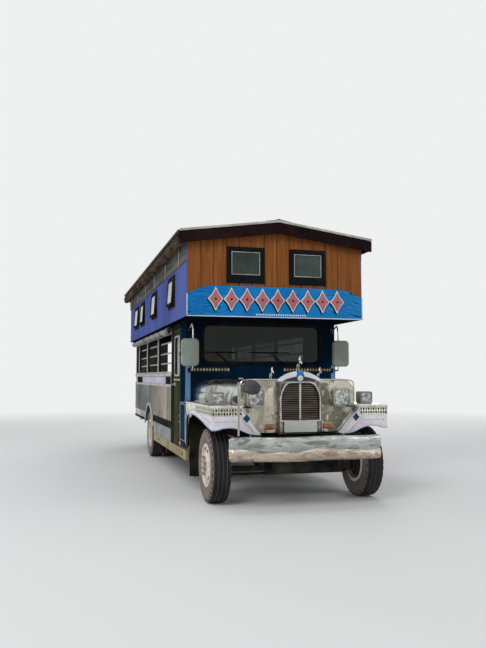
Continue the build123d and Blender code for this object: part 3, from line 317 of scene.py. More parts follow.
COAT_SHARE = 0.12           # gloss of paint that has weathered outdoors


def finish(name, first, second, chip=(60, 55, 50), scale=2.0, stretch=(1, 1, 1), chips=0.4, dust=0.2,
           reach=1.1, rough=(0.35, 0.6), metal=0.0, coat=0.0, dents=0.4, dent_scale=4.0, scratches=0.2,
           scratch_way=(4, 4, 60), depth=0.004, dust_tone=(128, 118, 102), third=(0, 0, 0), thirds=0.0,
           swirl=0.0):
    """A painted, plated or bare surface in two tones, with chips, dust and relief."""
    tree, shader = blank(name)
    worn = use(tree, "patches", First=tone(*first), Second=tone(*second), Chip=tone(*chip), Scale=scale,
               Stretch=stretch, Chips=chips, Third=tone(*third), Thirds=thirds, Swirl=swirl)
    dusty = use(tree, "dust", Color=worn["Color"], Dust=tone(*dust_tone), Amount=dust, Reach=reach)
    relief = use(tree, "relief", Dents=dents, Dent_Scale=dent_scale, Scratches=scratches, Stretch=scratch_way)
    coloured(tree, shader, dusty["Color"])
    varied(tree, shader, figure(tree, "ADD", dusty["Mask"], figure(tree, "MULTIPLY", worn["Patch"], 0.5),
                                True), *rough)
    fixed(shader, Metallic=metal, Coat_Weight=coat * COAT_SHARE, Coat_Roughness=0.12,
          Specular_IOR_Level=0.5 if metal > 0.4 else coat * COAT_SHARE)
    bumped(tree, shader, relief["Height"], depth)


def plain_finishes():
    # On the metal finishes with a third tone (bare_steel, aged_chrome, stainless_sheet, nose_sheet,
    # ribbed_steel, fender_shelf, worn_steel, nose_patch, nose_side_sheet, rear_sheet, patch_dark), the
    # swirled patches and the dark third tone are painted reflections.
    finish("dark_frame", (20, 22, 26), (32, 32, 32), chip=(96, 62, 40), chips=0.5, dust=0.4,
           rough=(0.5, 0.85))
    finish("rubber", (14, 14, 15), (24, 24, 24), dust=0.3, rough=(0.6, 0.85), chips=0, dents=0.2, depth=0.002)
    finish("cream_wheel", (246, 236, 228), (228, 212, 202), chip=(130, 94, 70), chips=0.8, dust=0.35, scale=6,
           rough=(0.4, 0.75))
    finish("bare_steel", (206, 210, 206), (158, 164, 158), chip=(236, 234, 226), chips=1.0, metal=0.9,
           scale=3.4, stretch=(0.6, 1, 2.2), rough=(0.1, 0.36), dents=1.4, dent_scale=7, depth=0.009,
           third=(98, 104, 96), thirds=0.7, swirl=1.4)
    finish("chrome_plate", (206, 210, 208), (158, 162, 158), chip=(90, 80, 66), chips=0.5, metal=1.0, scale=9,
           rough=(0.08, 0.35), dents=0.2, depth=0.002)
    finish("aged_chrome", (158, 150, 138), (88, 78, 70), chip=(226, 222, 212), chips=1.0, metal=0.9, scale=13,
           stretch=(1, 1, 0.5), rough=(0.08, 0.34), dents=0.8, third=(44, 38, 34), thirds=0.8, swirl=1.6)
    finish("stainless_sheet", (176, 168, 148), (130, 124, 104), chip=(196, 182, 172), chips=0.5, dust=0.25,
           metal=0.9, scale=2.6, stretch=(1, 1, 0.5), rough=(0.14, 0.4), dents=0.7, dent_scale=3,
           scratches=0.25, scratch_way=(60, 60, 3), depth=0.005, third=(84, 78, 62), thirds=0.6, swirl=1.0)
    finish("nose_sheet", (206, 200, 186), (150, 148, 130), chip=(236, 222, 208), chips=0.8, dust=0.12,
           metal=0.9, scale=2.6, stretch=(1, 1, 0.7), rough=(0.06, 0.3), dents=1.0, dent_scale=3, depth=0.007,
           third=(86, 86, 68), thirds=0.8, swirl=1.8)
    finish("ribbed_steel", (170, 162, 150), (128, 120, 108), chip=(192, 180, 164), metal=0.8, scale=1.6,
           stretch=(1, 1, 0.25), rough=(0.2, 0.46), dents=0.5, third=(86, 78, 68), thirds=0.7, swirl=1.0)
    finish("navy", (8, 38, 62), (4, 26, 46), chip=(70, 86, 92), chips=0.2, dust=0.08, rough=(0.3, 0.5))
    finish("teal_navy", (20, 64, 90), (12, 46, 70), chip=(96, 110, 110), chips=0.3, dust=0.12,
           rough=(0.3, 0.5))
    finish("light_blue", (112, 156, 196), (90, 132, 174), chip=(190, 200, 205))
    # Stainless cab doors painted in the olive of the green roadside they reflect: a painted reflection, with
    # darker painted reflection patches.
    finish("door_olive_reflection", (72, 80, 56), (50, 58, 42), chip=(160, 156, 130), chips=0.6, reach=1.2, scale=1.6,
           stretch=(1, 1, 0.4), third=(24, 27, 20), thirds=0.5)
    # Dark paint of posts and frames; also used for a painted shadow under the side sheets' foot.
    finish("dark_post_and_shadow", (30, 33, 34), (46, 46, 44), chip=(120, 118, 110))
    finish("pale_frame", (190, 194, 190), (168, 172, 166), chip=(110, 100, 86), chips=0.7, dust=0.25,
           metal=0.2)
    finish("waist_white", (206, 208, 206), (184, 188, 186), chip=(110, 100, 90), chips=0.6, dust=0.3, scale=3)
    finish("violet_plate", (216, 214, 230), (196, 192, 216), chip=(190, 188, 200), dust=0.1)
    finish("cream_rail", (190, 180, 150), (160, 148, 116), chip=(96, 76, 54), chips=0.9, dust=0.5, scale=4)
    finish("recess_blue", (176, 184, 184), (146, 156, 158), chip=(200, 200, 194), dust=0.3)
    finish("fender_shelf", (236, 232, 224), (200, 198, 188), chip=(240, 236, 228), chips=0.8, dust=0.12,
           metal=0.8, scale=4, rough=(0.12, 0.35), third=(150, 148, 134), thirds=0.45, swirl=1.4)
    finish("violet_sheet", (94, 109, 176), (80, 92, 156), chip=(150, 148, 160), chips=0.3, dust=0.1, reach=5,
           scale=1.3, stretch=(1, 1, 0.3))
    finish("weathered_grey", (96, 96, 97), (66, 66, 68), chip=(130, 128, 124), chips=0.7, dust=0.25, reach=6,
           scale=3, stretch=(1, 0.3, 1))
    finish("fascia_brown", (40, 26, 26), (28, 18, 20), chip=(112, 96, 92), dust=0.04, reach=6,
           rough=(0.4, 0.7), scale=3)
    finish("mottled_brown", (100, 82, 72), (52, 38, 36), chip=(190, 184, 174), chips=1.0, reach=6, scale=6,
           stretch=(1, 0.4, 1), rough=(0.4, 0.75), dents=1.2, dent_scale=7, depth=0.008, third=(34, 26, 24),
           thirds=0.6, swirl=1.0)
    finish("zinc_sheet", (176, 180, 172), (140, 140, 130), chip=(120, 84, 56), chips=0.6, dust=0.3, reach=6,
           metal=0.55, scale=1.6, stretch=(1, 0.2, 1), rough=(0.35, 0.65))
    finish("black_plastic", (24, 24, 26), (34, 34, 36), dust=0.3, chips=0.1)
    finish("window_black", (8, 13, 18), (14, 22, 26), dust=0.03, chips=0.1, coat=0.4, rough=(0.22, 0.4))
    finish("mirror_shell", (152, 162, 152), (130, 140, 132), chip=(96, 92, 84), chips=0.5, dust=0.15, reach=3,
           coat=0.4, rough=(0.25, 0.5))
    finish("grille_dark", (58, 50, 46), (40, 34, 30), chip=(120, 112, 100), chips=0.6, dust=0.25, metal=0.6,
           stretch=(0.4, 1, 3), rough=(0.3, 0.55))
    finish("crown_white", (226, 231, 236), (206, 212, 218), chip=(120, 120, 118), chips=0.3, dust=0.1,
           coat=0.5, rough=(0.15, 0.35), metal=0.1)
    finish("stripe_blue", (46, 126, 214), (36, 108, 194), chip=(200, 210, 220), chips=0.3, dust=0.05,
           coat=0.6, rough=(0.18, 0.35))
    finish("diamond_blue", (28, 72, 120), (20, 58, 104), dust=0.1, coat=0.8, rough=(0.12, 0.3), chips=0.1)
    finish("plate_white", (214, 219, 212), (200, 206, 198), chip=(110, 100, 90), chips=0.3, dust=0.12,
           coat=0.3)
    finish("sign_pink", (190, 118, 122), (174, 102, 108), chip=(220, 200, 196), chips=0.3, dust=0.08,
           coat=0.3)
    finish("sign_shadow", (20, 34, 52), (14, 24, 40), dust=0.05, chips=0)
    finish("sign_white", (226, 230, 234), (208, 212, 218), dust=0.1, chips=0.2, coat=0.3)
    finish("vinyl_red", (112, 26, 30), (90, 20, 24), chip=(60, 20, 20), chips=0.3, dust=0.15,
           rough=(0.35, 0.55), dents=0.8, dent_scale=14, depth=0.003)
    finish("vinyl_bead", (196, 190, 176), (170, 162, 146), chip=(60, 20, 20), chips=0.3)
    finish("nut_steel", (186, 182, 174), (150, 144, 134), chip=(110, 76, 52), chips=0.8, dust=0.5, metal=0.6,
           scale=20, rough=(0.3, 0.6))
    finish("worn_steel", (206, 190, 174), (176, 160, 144), chip=(236, 230, 220), chips=1.0, dust=0.25,
           metal=0.75, scale=6, stretch=(0.7, 1, 2), rough=(0.2, 0.45), dents=1.6, dent_scale=8, depth=0.010,
           third=(124, 112, 98), thirds=0.6, swirl=1.2)
    finish("slat_steel", (124, 112, 102), (84, 74, 66), chip=(180, 172, 160), chips=0.6, dust=0.3, metal=0.8,
           scale=5, stretch=(0.5, 1, 3), rough=(0.25, 0.5))
    finish("nose_patch", (236, 226, 214), (206, 194, 180), chip=(240, 228, 216), chips=0.8, dust=0.1,
           metal=0.8, scale=4, rough=(0.1, 0.3), dents=1.3, dent_scale=5, depth=0.008, third=(160, 148, 128),
           thirds=0.5, swirl=1.4)
    finish("band_dark", (52, 54, 40), (36, 38, 30), chip=(120, 112, 80), chips=0.5, dust=0.3, metal=0.4,
           scale=9)
    finish("band_gold", (128, 120, 78), (88, 84, 54), chip=(180, 170, 140), chips=0.6, dust=0.3, metal=0.5,
           scale=9)
    finish("edge_trim", (190, 202, 222), (160, 172, 196), chip=(120, 120, 118), dust=0.15, metal=0.3, scale=6)
    finish("curl_rose", (196, 150, 158), (180, 140, 160), dust=0.1, chips=0.2)
    finish("lamp_rim", (182, 180, 170), (132, 130, 120), chip=(214, 210, 200), dust=0.15, metal=0.85, scale=9,
           rough=(0.12, 0.35))
    finish("pale_edge", (190, 190, 184), (160, 158, 148), chip=(110, 92, 76), chips=0.8, dust=0.3, metal=0.3,
           scale=8)
    finish("nose_side_sheet", (206, 210, 206), (158, 158, 150), chip=(236, 232, 224), chips=0.6, dust=0.15,
           metal=0.95, scale=2.2, stretch=(1, 1, 0.8), rough=(0.05, 0.28), dents=0.8, dent_scale=3,
           depth=0.006, third=(84, 84, 78), thirds=0.8, swirl=1.6)
    finish("rear_sheet", (98, 106, 98), (68, 78, 70), chip=(150, 146, 134), chips=0.6, metal=0.7,
           stretch=(1, 1, 0.4), rough=(0.25, 0.5), dents=0.6, third=(42, 50, 42), thirds=0.6, swirl=1.2)
    finish("guide_grey", (62, 62, 66), (84, 84, 88), chip=(130, 130, 130), dust=0.15, reach=3, coat=0.4,
           rough=(0.25, 0.45))
    finish("plank_grey", (112, 108, 104), (76, 74, 74), chip=(150, 144, 134), chips=0.8, reach=6, scale=5,
           stretch=(1, 0.15, 2.5), scratches=0.6, scratch_way=(3, 3, 90))
    finish("door_brown", (78, 62, 48), (56, 44, 36), chip=(120, 110, 96), dust=0.6)
    finish("strap_grey", (92, 94, 92), (70, 72, 72), reach=4, chips=0.1)
    # Dark navy of the loft floor: painted shade under the loft's overhang.
    finish("under_dark", (15, 25, 34), (10, 18, 26), chip=(60, 66, 68), chips=0.3, dust=0.03,
           rough=(0.6, 0.85))
    finish("patch_dark", (170, 164, 150), (128, 124, 108), chip=(200, 192, 176), chips=0.8, dust=0.15,
           metal=0.85, scale=4, rough=(0.12, 0.35), dents=1.1, depth=0.007, third=(74, 74, 58), thirds=0.8,
           swirl=1.6)
    finish("lamp_grey", (150, 154, 150), (128, 132, 128), dust=0.25, chips=0.3, metal=0.4)


def two_tone_fender():
    """White fender paint that turns to bare undersealed sheet on the leg behind the wheel."""
    finish("fender_two_tone", (242, 240, 244), (222, 220, 228), chip=(150, 144, 132), chips=0.5, dust=0.06,
           scale=5, coat=0.4, rough=(0.25, 0.5), third=(230, 198, 206), thirds=0.4)
    tree = FINISHES["fender_two_tone"].node_tree
    shader = tree.nodes["Principled BSDF"]
    paint = shader.inputs["Base Color"].links[0].from_socket
    start, top = at(0, 0.815, 0).y, 0.915
    behind_wheel = ranged(tree, part_of(tree, here(tree), 1), start, start + 0.02)
    below = ranged(tree, part_of(tree, here(tree), 2), top, top + 0.01, 1.0, 0.0)
    leg = figure(tree, "MULTIPLY", behind_wheel, below)
    coloured(tree, shader, blend_colour(tree, leg, paint, tone(24, 27, 28)))


def lens_finish(name, colour, low=0.8, blotch=18.0):
    """Coloured lens with fine moulded ribs."""
    tree, shader = blank(name)
    place = here(tree)
    worn = use(tree, "patches", First=tone(*colour), Second=tone(*[int(part * low) for part in colour]),
               Scale=blotch, Chips=0.1)
    coloured(tree, shader, worn["Color"])
    rib = add(tree, "ShaderNodeTexWave", {"bands_direction": "X"}, Vector=place, Scale=60.0).outputs["Fac"]
    bumped(tree, shader, rib, 0.0015)
    fixed(shader, Roughness=0.18, Coat_Weight=0.8)


def glass_finish(name, colour, alpha, rough=0.05):
    """Thin dusty glass that lets a share of the light through."""
    tree, shader = blank(name)
    place = here(tree)
    smear = clouds(tree, place, 2.6, 0.35, 0.75, 5.0)
    dusty = [min(255, int(part * 1.5) + 12) for part in colour]
    coloured(tree, shader, blend_colour(tree, smear, tone(*colour), tone(*dusty)))
    join(tree, ranged(tree, smear, 0.0, 1.0, alpha, min(1.0, alpha + 0.15)), shader.inputs["Alpha"])
    fixed(shader, Roughness=rough, Specular_IOR_Level=0.3)


def tyre_finish():
    """Black rubber, with brown dust on the side walls and grey dust on the tread."""
    tree, shader = blank("tyre_rubber")
    place = here(tree)
    wall = ranged(tree, figure(tree, "ABSOLUTE", face_way(tree, 0), 0.0), 0.25, 0.9)
    cloud = clouds(tree, place, 7.0, 0.25, 0.75, 6.0)
    side = blend_colour(tree, cloud, tone(104, 96, 90), tone(146, 134, 126))
    tread = blend_colour(tree, cloud, tone(26, 28, 31), tone(52, 54, 56))
    coloured(tree, shader, blend_colour(tree, wall, tread, side))
    varied(tree, shader, cloud, 0.65, 0.9)
    bumped(tree, shader, cloud, 0.0015)
    fixed(shader, Specular_IOR_Level=0.15)


def wood_finish():
    """Varnished boards: long upright grain, knots of darker tone and a warm varnish."""
    tree, shader = blank("varnished_wood")
    place = here(tree)
    board = stretched(tree, place, (5.8, 5.8, 0))
    step = add(tree, "ShaderNodeVectorMath", {"operation": "FLOOR"}, i0=board).outputs[0]
    own = add(tree, "ShaderNodeTexWhiteNoise", {"noise_dimensions": "3D"}, Vector=step).outputs["Value"]
    away = add(tree, "ShaderNodeCombineXYZ", X=own, Y=own, Z=figure(tree, "MULTIPLY", own, 7.0)).outputs[0]
    shift = add(tree, "ShaderNodeVectorMath", {"operation": "ADD"}, i0=place, i1=away).outputs[0]
    long = stretched(tree, shift, (26, 26, 1.3))
    grain = add(tree, "ShaderNodeTexNoise", Vector=long, Scale=1.6, Detail=8.0, Roughness=0.65,
                Distortion=0.6).outputs["Fac"]
    share = ranged(tree, grain, 0.3, 0.72)
    colour = blend_colour(tree, share, tone(100, 54, 15), tone(164, 98, 42))
    shade = blend_colour(tree, figure(tree, "MULTIPLY", own, 0.4), colour, tone(106, 57, 20))
    dusty = use(tree, "dust", Color=shade, Dust=tone(150, 128, 100), Amount=0.05, Reach=5.0)
    coloured(tree, shader, dusty["Color"])
    varied(tree, shader, share, 0.6, 0.4)
    fixed(shader, Specular_IOR_Level=0.2)
    bumped(tree, shader, grain, 0.002)


def sign_finish():
    """Blue sign paint with faint wave lines towards both ends."""
    tree, shader = blank("sign_blue")
    place = here(tree)
    wave = add(tree, "ShaderNodeTexWave", {"bands_direction": "Z"},
               Vector=stretched(tree, place, (1.0, 1.0, 2.2)), Scale=4.5, Distortion=14.0, Detail=1.5,
               Detail_Scale=1.2).outputs["Fac"]
    line = ranged(tree, wave, 0.0, 0.2, 1.0, 0.0)
    ends = ranged(tree, figure(tree, "ABSOLUTE", part_of(tree, place, 0), 0.0), 0.5, 0.85, 0.35)
    paint = use(tree, "patches", First=tone(18, 134, 206), Second=tone(10, 114, 188),
                Chip=tone(190, 205, 215), Scale=2.0, Chips=0.0)
    colour = blend_colour(tree, figure(tree, "MULTIPLY", line, ends), paint["Color"], tone(4, 54, 110))
    coloured(tree, shader, colour)
    varied(tree, shader, paint["Patch"], 0.3, 0.45)
    fixed(shader, Specular_IOR_Level=0.15)
    bumped(tree, shader, line, 0.0006)


def canvas_finish():
    """Coated canvas: fine crossed threads under a soft, dirty coat."""
    tree, shader = blank("coated_canvas")
    place = here(tree)
    warp = add(tree, "ShaderNodeTexWave", {"bands_direction": "Y"}, Vector=place, Scale=110.0).outputs["Fac"]
    weft = add(tree, "ShaderNodeTexWave", {"bands_direction": "Z"}, Vector=place, Scale=110.0).outputs["Fac"]
    cloth = use(tree, "patches", First=tone(160, 162, 160), Second=tone(128, 132, 132), Chip=tone(96, 90, 80),
                Scale=3.0, Stretch=(1, 0.4, 1), Chips=0.4)
    coloured(tree, shader, cloth["Color"])
    bumped(tree, shader, figure(tree, "ADD", warp, weft), 0.0006)
    fixed(shader, Roughness=0.6)


def make_finishes():
    plain_finishes()
    two_tone_fender()
    lens_finish("amber_lens", (206, 104, 44))
    lens_finish("red_lens", (150, 30, 26))
    lens_finish("clear_lens", (232, 236, 232), 0.46, 30.0)
    glass_finish("window_glass", (24, 32, 30), 0.72)
    # Dark green of the loft's front panes: a painted reflection.
    glass_finish("loft_glass", (40, 52, 46), 0.94, 0.03)
    glass_finish("bright_glass", (112, 120, 120), 0.9, 0.03)
    # Near-black windscreen glass: painted shade of the cab's inside seen through it.
    glass_finish("screen_glass", (5, 8, 11), 0.82, 0.03)
    glass_finish("mirror_glass", (120, 132, 136), 1.0, 0.03)
    tyre_finish()
    wood_finish()
    sign_finish()
    canvas_finish()


# Finishes of the nodes. Those that aren't named here are dark.
NODE_FINISH = {"cream_wheel": "front_rim_right front_rim_left rear_rims_right rear_rims_left",
               "tyre_rubber": "front_tyre_right front_tyre_left rear_tyres_right rear_tyres_left",
               "bare_steel": "front_bumper rear_bumper", "nose_sheet": "front_panel hood",
               "nose_side_sheet": "nose_sides", "aged_chrome": "grille_shell", "grille_dark": "grille_bars",
               "fender_two_tone": "front_fenders", "chrome_plate": "hood_figures headlamps",
               "amber_lens": "marker_lamps", "mirror_shell": "mirrors", "navy": "cab_front_wall",
               "screen_glass": "windscreen", "ribbed_steel": "side_panels rear_wall",
               "waist_white": "side_rails", "dark_post_and_shadow": "window_posts",
               "pale_frame": "window_bars loft_windows", "door_olive_reflection": "cab_door_left cab_door_right",
               "cream_rail": "side_sills", "black_plastic": "dashboard steering_wheel",
               "stainless_sheet": "seat_frames", "vinyl_red": "seat_cushions", "rubber": "mudflaps",
               "under_dark": "loft_floor", "violet_sheet": "loft_sides",
               "varnished_wood": "loft_gables loft_door", "sign_blue": "sign_board",
               "nut_steel": "rear_ladder", "zinc_sheet": "roof", "fascia_brown": "fascia",
               "coated_canvas": "tarp_rolls"}


def dress_nodes():
    worn = {node: name for name, nodes in NODE_FINISH.items() for node in nodes.split()}
    for node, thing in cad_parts.items():
        thing.data.materials.clear()
        thing.data.materials.append(FINISHES[worn.get(node, "dark_frame")])


# Shaping

def spot(axis, along, pair):
    """Point from its distance along one axis and its other two coordinates."""
    return at(*{"x": (along, *pair), "y": (pair[0], along, pair[1]), "z": (*pair, along)}[axis])


def soften(bm, geom, width, segments=2, affect="EDGES"):
    bmesh.ops.bevel(bm, geom=geom, offset=width, offset_type="OFFSET", segments=segments, profile=0.5,
                    affect=affect, clamp_overlap=True, material=-1)


def sharp_edges(own):
    """Edges where the faces turn by more than one radian."""
    return [edge for edge in own.edges if edge.calc_face_angle(0) > 1.0]


def pour(bm, own, mat=0):
    """Add a finished shape to a piece, in one of the piece's finishes. With None it keeps its own."""
    if mat is not None:
        for face in own.faces:
            face.material_index = mat
    mesh = bpy.data.meshes.new("poured")
    own.to_mesh(mesh)
    own.free()
    bm.from_mesh(mesh)
    bpy.data.meshes.remove(mesh)


def outward(own):
    bmesh.ops.recalc_face_normals(own, faces=own.faces[:])


def faced(own, way):
    """Turn a sheet's faces towards one way."""
    outward(own)
    if own.faces[:][0].normal.dot(Vector(way)) < 0:
        bmesh.ops.reverse_faces(own, faces=own.faces[:])


def thicken(own, thickness):
    bmesh.ops.solidify(own, geom=own.faces[:], thickness=thickness)


def moved_verts(made):
    return [item for item in made["geom"] if isinstance(item, bmesh.types.BMVert)]


def push(own, vec):
    """Push a sheet along, with walls behind it. Gives the vertices that moved."""
    top = moved_verts(bmesh.ops.extrude_face_region(own, geom=own.faces[:]))
    bmesh.ops.translate(own, vec=vec, verts=top)
    outward(own)
    return top


def slice_at(bm, point, normal, clear=False):
    """Cut every face at a plane. With clear, what lies beyond it goes."""
    return bmesh.ops.bisect_plane(bm, geom=bm.verts[:] + bm.edges[:] + bm.faces[:], plane_co=point,
                                  plane_no=normal, clear_outer=clear)


def sheet(columns, rows, place):
    """Sheet of faces. place gives each point from its two shares, 0 to 1."""
    own = bmesh.new()
    bmesh.ops.create_grid(own, x_segments=columns, y_segments=rows, size=1.0)
    for vert in own.verts:
        vert.co = place((vert.co.x + 1) / 2, (vert.co.y + 1) / 2)
    return own


def between(pair, share):
    return pair[0] + (pair[1] - pair[0]) * share


def oblong(first, second):
    """Outline of a rectangle."""
    return [(first[0], second[0]), (first[1], second[0]), (first[1], second[1]), (first[0], second[1])]


def along_axis(axis, length):
    return Vector([length if letter == axis else 0.0 for letter in "xyz"])


def flat_face(axis, along, outline, corner=0.0, segments=4):
    """Face square to an axis, with its corners rounded."""
    own = bmesh.new()
    verts = [own.verts.new(spot(axis, along, pair)) for pair in outline]
    own.faces.new(verts)
    if corner:
        soften(own, verts, corner, segments, "VERTICES")
    return own


def block(first, last):
    """Block between two corners."""
    own = bmesh.new()
    place = Matrix.Translation((first + last) / 2) @ Matrix.Diagonal((*(last - first), 1))
    bmesh.ops.create_cube(own, size=1.0, matrix=place)
    return own


def box(bm, low, high, edge=0.0, mat=0, segments=2):
    """Block with softened edges."""
    own = block(at(*low), at(*high))
    if edge:
        soften(own, own.edges[:], edge, segments)
    pour(bm, own, mat)


def plate(bm, axis, along, outline, depth, corner=0.0, edge=0.0, mat=0, segments=4):
    """Flat plate: an outline square to an axis with its corners rounded, pushed along the axis."""
    own = flat_face(axis, along, outline, corner, segments)
    top = set(push(own, along_axis(axis, depth)))
    if edge:
        soften(own, [item for item in own.edges if top.issuperset(item.verts)], edge)
    pour(bm, own, mat)


def bar_frame(bm, axis, along, outline, wide, depth, edge=0.003, corner=0.0, mat=0):
    """Frame of one width inside an outline square to an axis, pushed along the axis."""
    own = flat_face(axis, along, outline, corner)
    own.normal_update()
    face = max(own.faces, key=lambda item: item.calc_area())
    bmesh.ops.inset_region(own, faces=[face], thickness=wide, use_boundary=True, use_even_offset=True)
    bmesh.ops.delete(own, geom=[face], context="FACES")
    push(own, along_axis(axis, depth))
    soften(own, sharp_edges(own), edge)
    pour(bm, own, mat)


def turned(bm, profile, centre, way, steps=32, mat=0, change=None):
    """Profile rows (distance along the axis, radius) turned about an axis. change works on the result."""
    own = bmesh.new()
    verts = [own.verts.new((radius, 0, along)) for along, radius in profile]
    edges = [own.edges.new(pair) for pair in zip(verts, verts[1:])]
    bmesh.ops.spin(own, geom=verts + edges, cent=(0, 0, 0), axis=(0, 0, 1), angle=math.tau, steps=steps,
                   use_merge=True)
    bmesh.ops.remove_doubles(own, verts=own.verts[:], dist=0.00005)
    outward(own)
    if change:
        change(own)
    turn = Vector(way).to_track_quat("Z", "Y").to_matrix().to_4x4()
    bmesh.ops.transform(own, matrix=Matrix.Translation(at(*centre)) @ turn, verts=own.verts[:])
    pour(bm, own, mat)


def rod(bm, start, end, radius, mat=0, sides=12, tip=None):
    """Round bar between two points."""
    own = bmesh.new()
    start, end = at(*start), at(*end)
    way = end - start
    place = Matrix.Translation((start + end) / 2) @ way.to_track_quat("Z", "Y").to_matrix().to_4x4()
    bmesh.ops.create_cone(own, cap_ends=True, segments=sides, radius1=radius,
                          radius2=radius if tip is None else tip, depth=way.length, matrix=place)
    pour(bm, own, mat)


def finished(data, *modifiers):
    """What Blender makes of a curve, or of a mesh with modifiers: (kind, setting, value)."""
    holder = bpy.data.objects.new("holder", data)
    bpy.context.scene.collection.objects.link(holder)
    for kind, setting, value in modifiers:
        setattr(holder.modifiers.new(kind, kind), setting, value)
    mesh = bpy.data.meshes.new_from_object(holder.evaluated_get(bpy.context.evaluated_depsgraph_get()))
    own = bmesh.new()
    own.from_mesh(mesh)
    bpy.data.objects.remove(holder)
    bpy.data.meshes.remove(mesh)
    return own


def bent_rod(bm, points, radius, mat=0, sides=3, smooth=True):
    """Round bar along a smooth line through its route."""
    curve = bpy.data.curves.new("bent", "CURVE")
    curve.dimensions = "3D"
    curve.bevel_depth = radius
    curve.bevel_resolution = sides
    curve.resolution_u = 6
    curve.use_fill_caps = True
    line = curve.splines.new("NURBS" if smooth else "POLY")
    line.points.add(len(points) - 1)
    for place, point in zip(line.points, points):
        place.co = (*at(*point), 1.0)
    if smooth:
        line.order_u = 3
        line.use_endpoint_u = True
    own = finished(curve)
    bpy.data.curves.remove(curve)
    bmesh.ops.remove_doubles(own, verts=own.verts[:], dist=0.00002)
    pour(bm, own, mat)


def other_side(bm, verts, faces):
    """Mirror across the vehicle's middle."""
    bmesh.ops.scale(bm, vec=(-1, 1, 1), verts=verts)
    bmesh.ops.reverse_faces(bm, faces=faces)


def both_sides(bm):
    """Add the mirror image across the vehicle's middle."""
    made = bmesh.ops.duplicate(bm, geom=bm.verts[:] + bm.edges[:] + bm.faces[:])
    other_side(bm, moved_verts(made), [item for item in made["geom"] if isinstance(item, bmesh.types.BMFace)])


def piece(name, bm, body, slot, *finishes, stands_for=(), crease=35):
    """Make an object of a finished shape, with smooth faces, sharp creases, its finishes and its body."""
    limit = math.radians(crease)
    for face in bm.faces:
        face.smooth = True
    for edge in bm.edges:
        edge.smooth = len(edge.link_faces) == 2 and edge.calc_face_angle() < limit
    mesh = bpy.data.meshes.new(name)
    bm.to_mesh(mesh)
    bm.free()
    for finish_name in finishes:
        mesh.materials.append(FINISHES[finish_name])
    thing = bpy.data.objects.new(name, mesh)
    bpy.context.scene.collection.objects.link(thing)
    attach(thing, body)
    if stands_for:
        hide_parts(*stands_for)
    return thing


# Wheels

DISC_STEPS = 60


def place_in_turn(face, steps):
    """Which step of a turned shape a face lies in, and how far out."""
    middle = face.calc_center_median()
    return int((math.atan2(middle.y, middle.x) % math.tau) / math.tau * steps), math.hypot(middle.x, middle.y)


def tyre_shape(bm, x, y, side):
    """Tyre with four tread ribs, grooves between them and a row of lugs on each shoulder."""
    half = [(0.0045, 0.3915), (0.0065, 0.3995), (0.040, 0.3995), (0.0425, 0.3915), (0.0505, 0.3915),
            (0.053, 0.3990), (0.0845, 0.3970), (0.0930, 0.3930), (0.1030, 0.3700), (0.1050, 0.3600),
            (0.1065, 0.3500), (0.1075, 0.3250), (0.1070, 0.2950), (0.1030, 0.2700), (0.0960, 0.2480),
            (0.0905, 0.2400), (0.0895, 0.2320), (0.0805, 0.2170)]
    profile = [(-along, radius) for along, radius in reversed(half)] + half
    steps = 96

    def notch(own):
        picked = []
        for face in own.faces:
            turn, radius = place_in_turn(face, steps)
            if turn % 3 == 0 and 0.355 < radius < 0.396 and abs(face.calc_center_median().z) > 0.085:
                picked.append(face)
        bmesh.ops.inset_region(own, faces=picked, thickness=0.0012, depth=-0.008, use_even_offset=True)

    turned(bm, profile, (x, y, TYRE_R), (side, 0, 0), steps, 0, notch)


def wheel_nuts(bm, x, y, side, out, ring):
    """Ring of eight hexagon nuts on studs."""
    for place in range(8):
        turn = math.tau * (place + 0.5) / 8
        seat = (y + ring * math.cos(turn), TYRE_R + ring * math.sin(turn))
        rod(bm, (x + side * (out - 0.004), *seat), (x + side * (out + 0.022), *seat), 0.0165, 1, 6, 0.0155)
        rod(bm, (x + side * out, *seat), (x + side * (out + 0.036), *seat), 0.0085, 1, 10, 0.007)


def hand_holes(own):
    """Open six holes in a wheel's disc and give it its thickness."""
    gone = []
    for face in own.faces:
        turn, radius = place_in_turn(face, DISC_STEPS)
        if turn % (DISC_STEPS // 6) < 4 and 0.150 < radius < 0.182:
            gone.append(face)
    bmesh.ops.delete(own, geom=gone, context="FACES")
    thicken(own, 0.007)


def barrel(bm, x, y, side):
    """Rim barrel with rolled lips at both ends."""
    half = [(0.101, 0.226), (0.097, 0.237), (0.089, 0.235), (0.085, 0.219)]
    inner = [(0.100, 0.207), (0.081, 0.203)]
    profile = [(-along, radius) for along, radius in half] + half[::-1] + inner
    profile += [(-along, radius) for along, radius in inner[::-1]] + [(-half[0][0], half[0][1])]
    turned(bm, profile, (x, y, TYRE_R), (side, 0, 0), 48)


def disc_and_hub(bm, x, y, side, disc, hub, drum, nuts):
    """Pressed disc with hand holes, hub with its nuts, and brake drum."""
    centre, way = (x, y, TYRE_R), (side, 0, 0)
    turned(bm, disc, centre, way, DISC_STEPS, 0, hand_holes)
    turned(bm, hub, centre, way, 36, 1)
    wheel_nuts(bm, x, y, side, *nuts)
    turned(bm, drum, centre, way, 40, 2)


